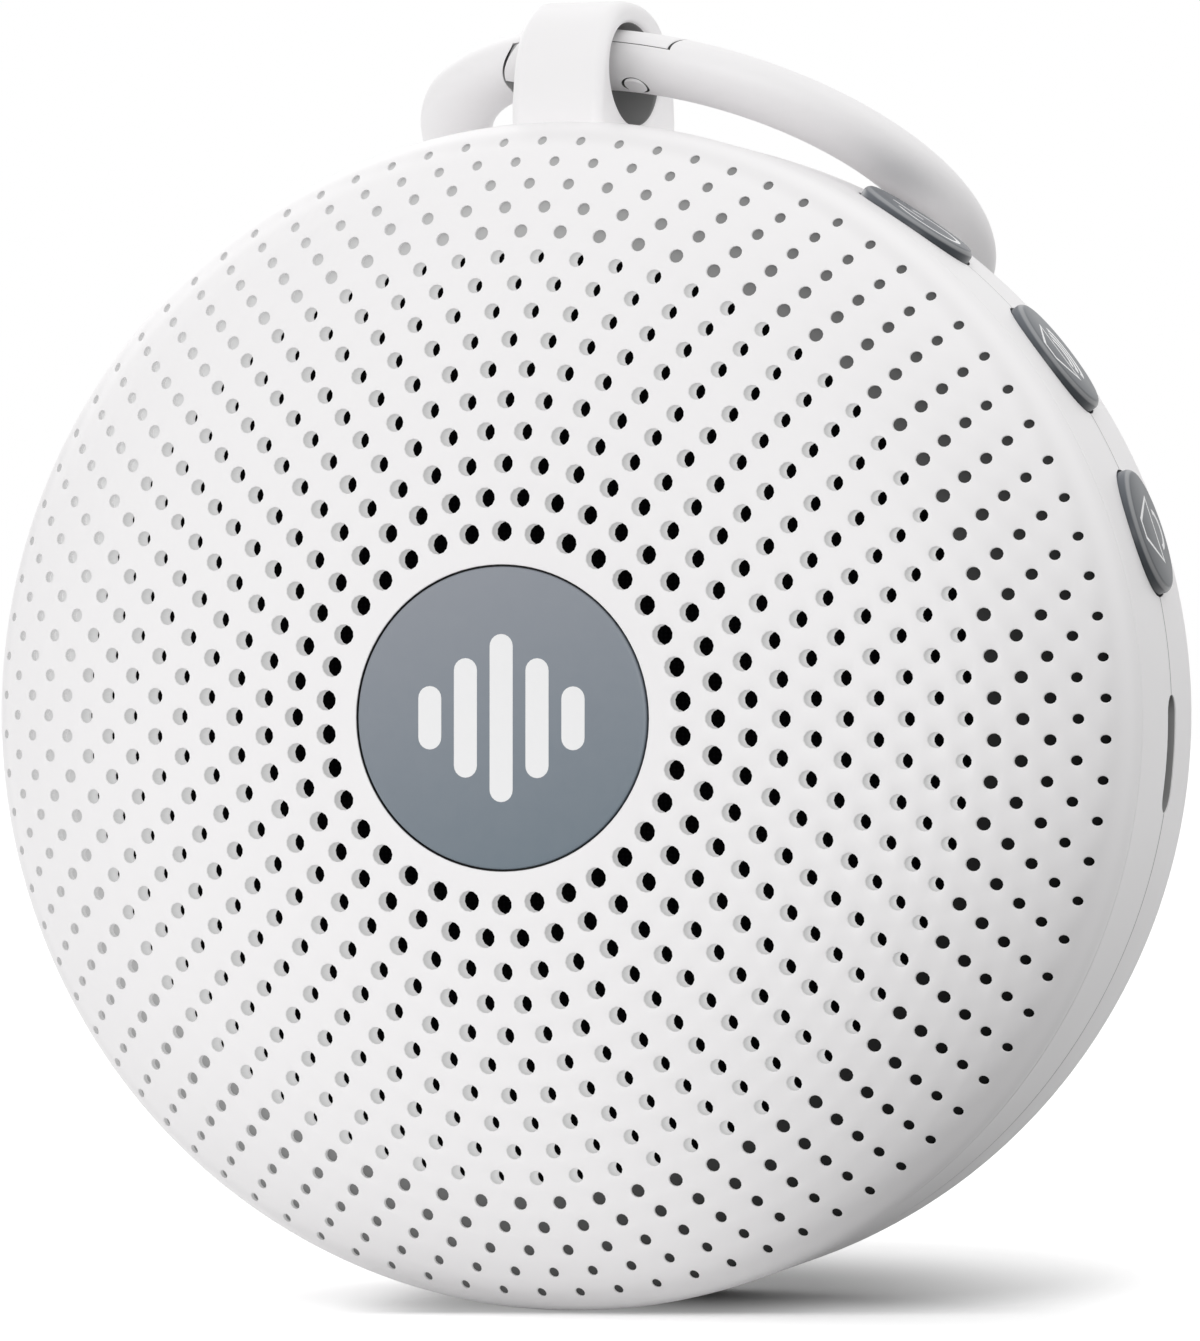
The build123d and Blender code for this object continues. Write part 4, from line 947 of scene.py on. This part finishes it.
def grille_plastic():
    """The shell's white. The holes' walls get painted shade and a painted glow that grows with depth."""
    made = Finish("grille_white")
    _, y, _, radius = made.axes()
    share = made.maths("MINIMUM", radius / (BODY_RADIUS * MM), 1.0)
    curve = made.maths("POWER", 1 - made.maths("POWER", share, DOME_RADIAL_POWER), 1 / DOME_DEPTH_POWER)
    depth = y - SEAM_Y * MM + curve * (DOME_DEPTH * MM)
    inside = made.ramp(depth, (RIM_ROUNDING + 0.01) * MM, (RIM_ROUNDING + 0.1) * MM, 0.0, 1.0)
    recess = (BADGE_RADIUS + BADGE_GAP) * MM
    grille = made.ramp(radius, recess + 0.00005, recess + 0.0002, 0.0, 1.0)
    # painted glow on the holes' walls, brighter deeper in
    glow = inside * grille * made.ramp(depth, 0.0, GRILLE_WALL * MM, *PAINTED_WALL_GLOW)
    # painted shade: near black on the badge recess's wall, grey on the holes' walls
    wall = made.blend(grille, grey(0.02), grey(PAINTED_WALL_SHADE))
    # painted light, as emission: the holes' glow and a soft band on the shoulder
    lit = glow + made.hill(y / MM, *SHOULDER_PAINTED_GLOW)
    # painted shade on the shoulder darkens the skin there
    return white_skin(made, inside, wall, made.hill(y / MM, *SHOULDER_PAINTED_SHADE), Emission_Strength=1.0,
                      Emission_Color=made.blend(lit, grey(0), grey(1)))


def dimple_painted_light():
    """Painted sheen at the bottoms of the dimples, black at the lower right and growing pale to the upper
    left.
    """
    made = Finish("dimple_painted_light")
    x, _, z, _ = made.axes()
    middle, upwards, right = DIMPLE_PAINTED_SHEEN
    # painted sheen, growing towards the upper left
    sheen = middle + upwards * (z / (FILM_REACH * MM)) + right * (x / (FILM_REACH * MM))
    tone = 1.2 * made.maths("POWER", made.maths("MAXIMUM", sheen, 0.05), 2.2)
    made.set(Base_Color=made.blend(tone, grey(0), grey(1)), Roughness=0.5 + 0.1 * made.noise(900.0),
             Normal=made.bump(made.noise(2400.0, 2.0), 0.1, 0.00001), Specular_IOR_Level=0.05)
    return made.material


def ring_axes():
    """Centre of the ring at rest, and its axes: along the rod, outwards at the rod, and through the ring."""
    yaw, roll, lean = (math.radians(angle) for angle in (RING_YAW, RING_ROLL, RING_LEAN))
    rod = Vector((math.cos(yaw) * math.cos(roll), math.sin(yaw) * math.cos(roll), math.sin(roll)))
    forward = rod.cross(Vector((0, 0, 1))).normalized()
    inward = forward.cross(rod) * math.cos(lean) - forward * math.sin(lean)
    centre = (Vector((0, -ROD_BACK, ROD_HEIGHT)) + inward * RING_RADIUS) * MM
    return centre, rod, -inward, rod.cross(-inward)


def ring_plastic():
    """The shell's white, with painted shade below the ring's own surface, as in the joint between its two
    halves.
    """
    made = Finish("ring_white")
    centre, *axes = ring_axes()
    at = made.node("ShaderNodeVectorMath", {"operation": "SUBTRACT"}, [made.place(), tuple(centre)])["Vector"]
    x, y, z = (made.along(at, tuple(axis)) / MM for axis in axes)
    across = (made.maths("SQRT", x * x + y * y) - RING_RADIUS) / RING_HALF_WIDTH
    through = z / RING_HALF_THICKNESS
    inside = made.maths("LESS_THAN", across * across + through * through, 0.955)
    # painted shade in the joint, darker further along the rod
    gap = made.ramp(x, 0.0, 4.0, 0.5, 0.06)
    return white_skin(made, inside, made.blend(gap, grey(0), grey(1)))


def key_slate():
    """Slate keys with painted light and shade: pale facing up and left, dark below, a painted highlight on
    the bevel.
    """
    made = Finish("slate_key")
    facing = made.node("ShaderNodeTexCoord")["Normal"]
    # painted light and shade by the way the key faces
    shade = made.ramp(made.along(facing, (-0.5, 0.3, 0.81)), -1.0, 1.0, 0.0, 1.0)
    x, _, z, radius = made.axes()
    face = made.node("ShaderNodeSeparateXYZ", None, {"Vector": facing})
    upward = (face["X"] * x + face["Z"] * z) / radius
    # painted highlight on the bevel
    edge = made.hill(upward, 0.35, 0.62, 0.8, 0.97)
    base = made.blend(shade, (0.030, 0.035, 0.041, 1), (0.165, 0.178, 0.198, 1))
    clouds = made.noise(70.0, 2.0)
    made.set(Base_Color=made.blend(0.28 * edge, base, grey(0.75)), Roughness=0.30 + 0.08 * clouds,
             Normal=made.bump(made.noise(3200.0, 2.0), 0.12, 0.00002), IOR=1.5, Specular_IOR_Level=0.25)
    return made.material


def anodised_badge():
    """Slate disc with a painted sheen, lighter towards the top, and a fine cloudy grain."""
    made = Finish("anodised_badge")
    x, _, z, _ = made.axes()
    # painted sheen: lighter towards the top and the left
    rise = z * 42.0 + 0.5 - x * 12.0
    grain = made.noise(900.0, 4.0)
    base = made.blend(rise, (0.148, 0.187, 0.223, 1), (0.262, 0.282, 0.318, 1))
    made.set(Base_Color=made.blend(0.06 * grain, base, grey(0.5)), Roughness=0.36 + 0.1 * grain, Metallic=0.0,
             Normal=made.bump(made.noise(5000.0, 2.0), 0.12, 0.00001), IOR=1.45)
    return made.material


def lug_plastic():
    """The shell's white, with painted shade inside the eye."""
    made = Finish("lug_white")
    _, y, z, _ = made.axes()
    along = (y / MM + EYE_Y) / (EYE_DEPTH / 2)
    up = (z / MM - EYE_Z) / (EYE_HEIGHT / 2)
    # painted shade: grey inside the eye
    return white_skin(made, made.maths("LESS_THAN", along * along + up * up, 1.025), grey(0.20))


def metal(name, colour, roughness, scratches=400.0):
    """Bright metal with drawn streaks and a little tarnish."""
    made = Finish(name)
    stretched = made.node("ShaderNodeMapping", None, {"Vector": made.place(), "Scale": (1, 6, 1)})["Vector"]
    streaks = made.noise(scratches, 5.0, 0.65, stretched)
    dull = tuple(0.8 * part for part in colour[:3]) + (1.0,)
    made.set(Base_Color=made.blend(streaks, dull, colour), Roughness=roughness - 0.08 + 0.2 * streaks,
             Metallic=1.0, Normal=made.bump(streaks, 0.15, 0.00001))
    return made.material


def fabric(name, colour, pale, pitch):
    """Plain weave: two sets of threads crossing on the body's axis plane."""
    made = Finish(name)
    weave = made.waves("X", 0.314 / (pitch * MM), 0.2) * made.waves("Z", 0.314 / (pitch * MM), 0.2)
    made.set(Base_Color=made.blend(weave, colour, pale), Roughness=0.95 - 0.1 * weave, Specular_IOR_Level=0.0,
             Normal=made.bump(weave, 0.6, 0.00005))
    return made.material


def grained(name, colour, pale, roughness, scale, depth, detail=4.0):
    """Rough or soft stuff, such as foam, paper, rubber and ferrite."""
    made = Finish(name)
    grain = made.noise(scale, detail, 0.6)
    made.set(Base_Color=made.blend(grain, colour, pale), Roughness=roughness - 0.05 + 0.1 * grain,
             Normal=made.bump(grain, 0.5, depth))
    return made.material


def wound_copper():
    made = Finish("wound_copper")
    turns = made.waves("Y", 1250.0, 0.0)
    made.set(Base_Color=made.blend(turns, (0.30, 0.10, 0.03, 1), (0.72, 0.30, 0.12, 1)), Metallic=0.9,
             Roughness=0.45 - 0.15 * turns, Normal=made.bump(turns, 0.6, 0.00008))
    return made.material


def circuit_board():
    """Green solder mask with buried copper: paler bands that wander over the board."""
    made = Finish("circuit_board")
    cells = made.node("ShaderNodeTexVoronoi", {"distance": "MANHATTAN", "feature": "F1"},
                      {"Vector": made.place(), "Scale": 420.0})["Distance"]
    stops = [(0.42, grey(0)), (0.5, grey(1))]
    tracks = made.node("ShaderNodeValToRGB", {"stops": stops}, {"Fac": cells})["Color"]
    made.set(Base_Color=made.blend(tracks, (0.012, 0.09, 0.035, 1), (0.03, 0.17, 0.06, 1)), Roughness=0.32,
             Normal=made.bump(tracks, 0.3, 0.00003))
    return made.material


FINISHES = {
    "lug_white": lug_plastic(),
    "band_white": band_plastic(),
    "ring_white": ring_plastic(),
    "grille_white": grille_plastic(),
    "white": moulded("satin_white", *WHITE, 0.44),
    "slate_key": key_slate(),
    "badge": anodised_badge(),
    "icon_paint": moulded("icon_paint", (0.885, 0.885, 0.89, 1), (0.86, 0.86, 0.865, 1), 0.4, 2400.0),
    "scrim": fabric("black_scrim", (0.0012, 0.0012, 0.0014, 1), (0.0035, 0.0035, 0.004, 1), 0.35),
    "black": moulded("black_plastic", (0.018, 0.018, 0.020, 1), (0.028, 0.028, 0.030, 1), 0.5),
    "dimple_painted_light": dimple_painted_light(),
    "steel": metal("zinc_steel", (0.62, 0.62, 0.64, 1), 0.34),
    "socket": metal("nickel_socket", (0.66, 0.65, 0.62, 1), 0.3, 900.0),
    "pole_steel": metal("pole_steel", (0.50, 0.50, 0.52, 1), 0.4, 250.0),
    "ferrite": grained("ferrite", (0.020, 0.020, 0.022, 1), (0.050, 0.050, 0.054, 1), 0.62, 700.0, 0.00004),
    "basket": grained("painted_basket", (0.030, 0.031, 0.033, 1), (0.045, 0.046, 0.048, 1),
                      0.5, 900.0, 0.00002),
    "rubber": grained("black_rubber", (0.014, 0.014, 0.015, 1), (0.024, 0.024, 0.025, 1),
                      0.72, 1500.0, 0.00002),
    "paper": grained("paper_cone", (0.025, 0.025, 0.027, 1), (0.060, 0.058, 0.056, 1),
                     0.88, 1200.0, 0.00006, 6.0),
    "spider": fabric("spider_cloth", (0.42, 0.26, 0.10, 1), (0.62, 0.42, 0.20, 1), 0.5),
    "foam": grained("grey_foam", (0.05, 0.05, 0.052, 1), (0.12, 0.12, 0.125, 1), 0.95, 1800.0, 0.00012, 6.0),
    "copper": wound_copper(),
    "board": circuit_board(),
    "cream": moulded("cream_nylon", (0.72, 0.66, 0.52, 1), (0.68, 0.62, 0.48, 1), 0.45),
    "can": metal("can_aluminium", (0.72, 0.73, 0.75, 1), 0.32, 600.0),
    "foil": metal("cell_foil", (0.68, 0.68, 0.70, 1), 0.38, 120.0),
    "wire": moulded("wire_sleeve", (0.30, 0.012, 0.012, 1), (0.36, 0.02, 0.02, 1), 0.45),
}
WHERE = {
    "badge": ["badge_disc"],
    "slate_key": ["button_power", "button_volume_up", "button_volume_down"],
    "scrim": ["grille_scrim"],
    "black": ["key_switches", "plunger_power", "plunger_volume_up", "plunger_volume_down", "sound_chip",
              "amplifier_chip", "usb_port_core"],
    "steel": ["housing_screws", "speaker_screws", "board_screws"],
    "socket": ["usb_port_shell"],
    "pole_steel": ["speaker_top_plate", "speaker_yoke"],
    "ferrite": ["speaker_magnet"],
    "basket": ["speaker_basket"],
    "rubber": ["speaker_surround", "speaker_gasket"],
    "paper": ["speaker_cone", "speaker_dust_cap"],
    "spider": ["speaker_spider"],
    "foam": ["badge_adhesive", "battery_pad"],
    "copper": ["voice_coil"],
    "board": ["main_board"],
    "cream": ["speaker_connector", "battery_connector"],
    "can": ["capacitors"],
    "foil": ["battery_cell"],
    "wire": ["speaker_leads", "battery_leads"],
}


# ---- everything on its body ----
def fit(piece, body, slot, finish, *stands_for):
    piece.data.materials.clear()
    piece.data.materials.append(FINISHES[finish])
    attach(piece, body)
    if stands_for:
        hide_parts(*stands_for)
    return piece


for finish, names in WHERE.items():
    for name in names:
        for place in nodes[name].material_slots:
            place.material = FINISHES[finish]
for name, node in nodes.items():
    if not any(name in names for names in WHERE.values()):
        for place in node.material_slots:
            place.material = FINISHES["white"]

fit(front_grille(), "body", "white_shell", "grille_white", "front_grille")
fit(dimple_floors(), "body", "black_plastic", "dimple_painted_light")
fit(band(), "body", "white_shell", "band_white", "front_housing")
fit(back_shell(), "body", "white_shell", "band_white", "rear_housing")
fit(lug_arch(), "body", "white_shell", "lug_white", "hanging_lug")
fit(refined("ring_arm_left", "ring_left_half"), "ring_left", "white_shell", "ring_white", "ring_arm_left")
fit(hinge_pin(), "ring_left", "white_shell", "ring_white", "ring_pin")
fit(refined("ring_arm_right", "ring_right_half"), "ring_right", "white_shell", "ring_white", "ring_arm_right")
fit(badge(), "body", "badge_face", "badge", "badge_disc")
fit(badge_mark(), "body", "white_shell", "icon_paint")
for key, degrees in KEYS.items():
    fit(key_cap("key_" + key + "_cap", degrees), "key_" + key, "slate_key", "slate_key", "button_" + key)
for key, lines in key_icons().items():
    for line in lines:
        fit(line, "key_" + key, "white_shell", "icon_paint")


# ---- stage, light and camera ----
def seen_directly(made):
    """1 for rays from the camera, from gloss and through glass, 0 for light on its way."""
    rays = made.node("ShaderNodeLightPath")
    either = made.maths("MAXIMUM", rays["Is Glossy Ray"], rays["Is Transmission Ray"])
    return made.maths("MAXIMUM", rays["Is Camera Ray"], either)


def white_ground():
    """Matt floor with a painted shadow; a painted glow whitens the rest. It throws little light up on the
    right.
    """
    made = Finish("white_ground")
    seen = seen_directly(made)
    x, y, _, _ = made.axes()
    # painted shadow in the bounce: little light thrown up to the body's right
    bounce = made.ramp(made.along(made.place(), TO_THE_RIGHT), 0.0, 0.035, FLOOR_BOUNCE, SHADED_BOUNCE)
    # painted glow, which lifts the floor to white away from the shadow
    lift = made.spot(LIFT_MIDDLE, LIFT_REACH, 0.0, FLOOR_LIFT)
    # painted shadow: to the body's right, and darker close under the rim
    shade = made.spot(SHADOW_MIDDLE, SHADOW_REACH, SHADOW_DEPTH, 0.0) * made.ramp(x, -0.006, 0.008, 0.0, 1.0)
    shade = 1 - (1 - shade) * (1 - made.spot(CONTACT_SHADOW_MIDDLE, CONTACT_SHADOW_REACH, CONTACT_SHADOW_DEPTH, 0.0))
    # no painted shadow falls in front of the body
    shade = shade * made.ramp(y - 0.3 * x, -0.028, -0.024, 0.0, 1.0)
    made.set(Base_Color=made.blend(seen, bounce, 1 - shade), Roughness=0.95, Specular_IOR_Level=0.0,
             Emission_Color=made.blend(seen, grey(0), lift), Emission_Strength=1.0)
    return made.material


def floor():
    deselect()
    bpy.ops.mesh.primitive_plane_add(size=6, location=(0, 0, -BODY_RADIUS * MM))
    piece = named("studio_floor")
    piece.data.materials.append(white_ground())


def lamp(name, turn, lift, size, watts):
    """Soft square lamp a metre off that faces the object, turned from the camera and lifted, in degrees."""
    turn = math.radians(CAMERA_TURN + turn)
    lift = math.radians(lift)
    away = Vector((math.sin(turn) * math.cos(lift), -math.cos(turn) * math.cos(lift), math.sin(lift)))
    light = bpy.data.lights.new(name, "AREA")
    light.size = size
    light.energy = watts
    lit = linked(name, light)
    lit.location = away
    lit.rotation_euler = (-away).to_track_quat("-Z", "Y").to_euler()


def surroundings(level):
    """Even grey light all round; the camera, gloss and glass see plain white."""
    world = bpy.data.worlds.new("studio")
    bpy.context.scene.world = world
    made = Finish("studio", world)
    background = made.tree.nodes["Background"]
    made.feed(background.inputs["Color"], grey(1))
    made.feed(background.inputs["Strength"], level + (1 - level) * seen_directly(made))


def camera():
    lens = bpy.data.cameras.new("camera")
    lens.lens = CAMERA_LENS
    lens.sensor_width = 36
    lens.clip_start = 0.01
    lens.clip_end = 20
    eye = linked("camera", lens)
    turn = Matrix((CAMERA_RIGHT, CAMERA_UP, [-part for part in CAMERA_AHEAD])).transposed()
    eye.matrix_world = Matrix.Translation(Vector(CAMERA_PLACE) * MM) @ turn.to_4x4()
    bpy.context.scene.camera = eye


floor()
surroundings(SURROUNDINGS)
for name, settings in LAMPS.items():
    lamp(name, *settings)
camera()
bpy.context.scene.view_settings.view_transform = "Standard"

deselect()
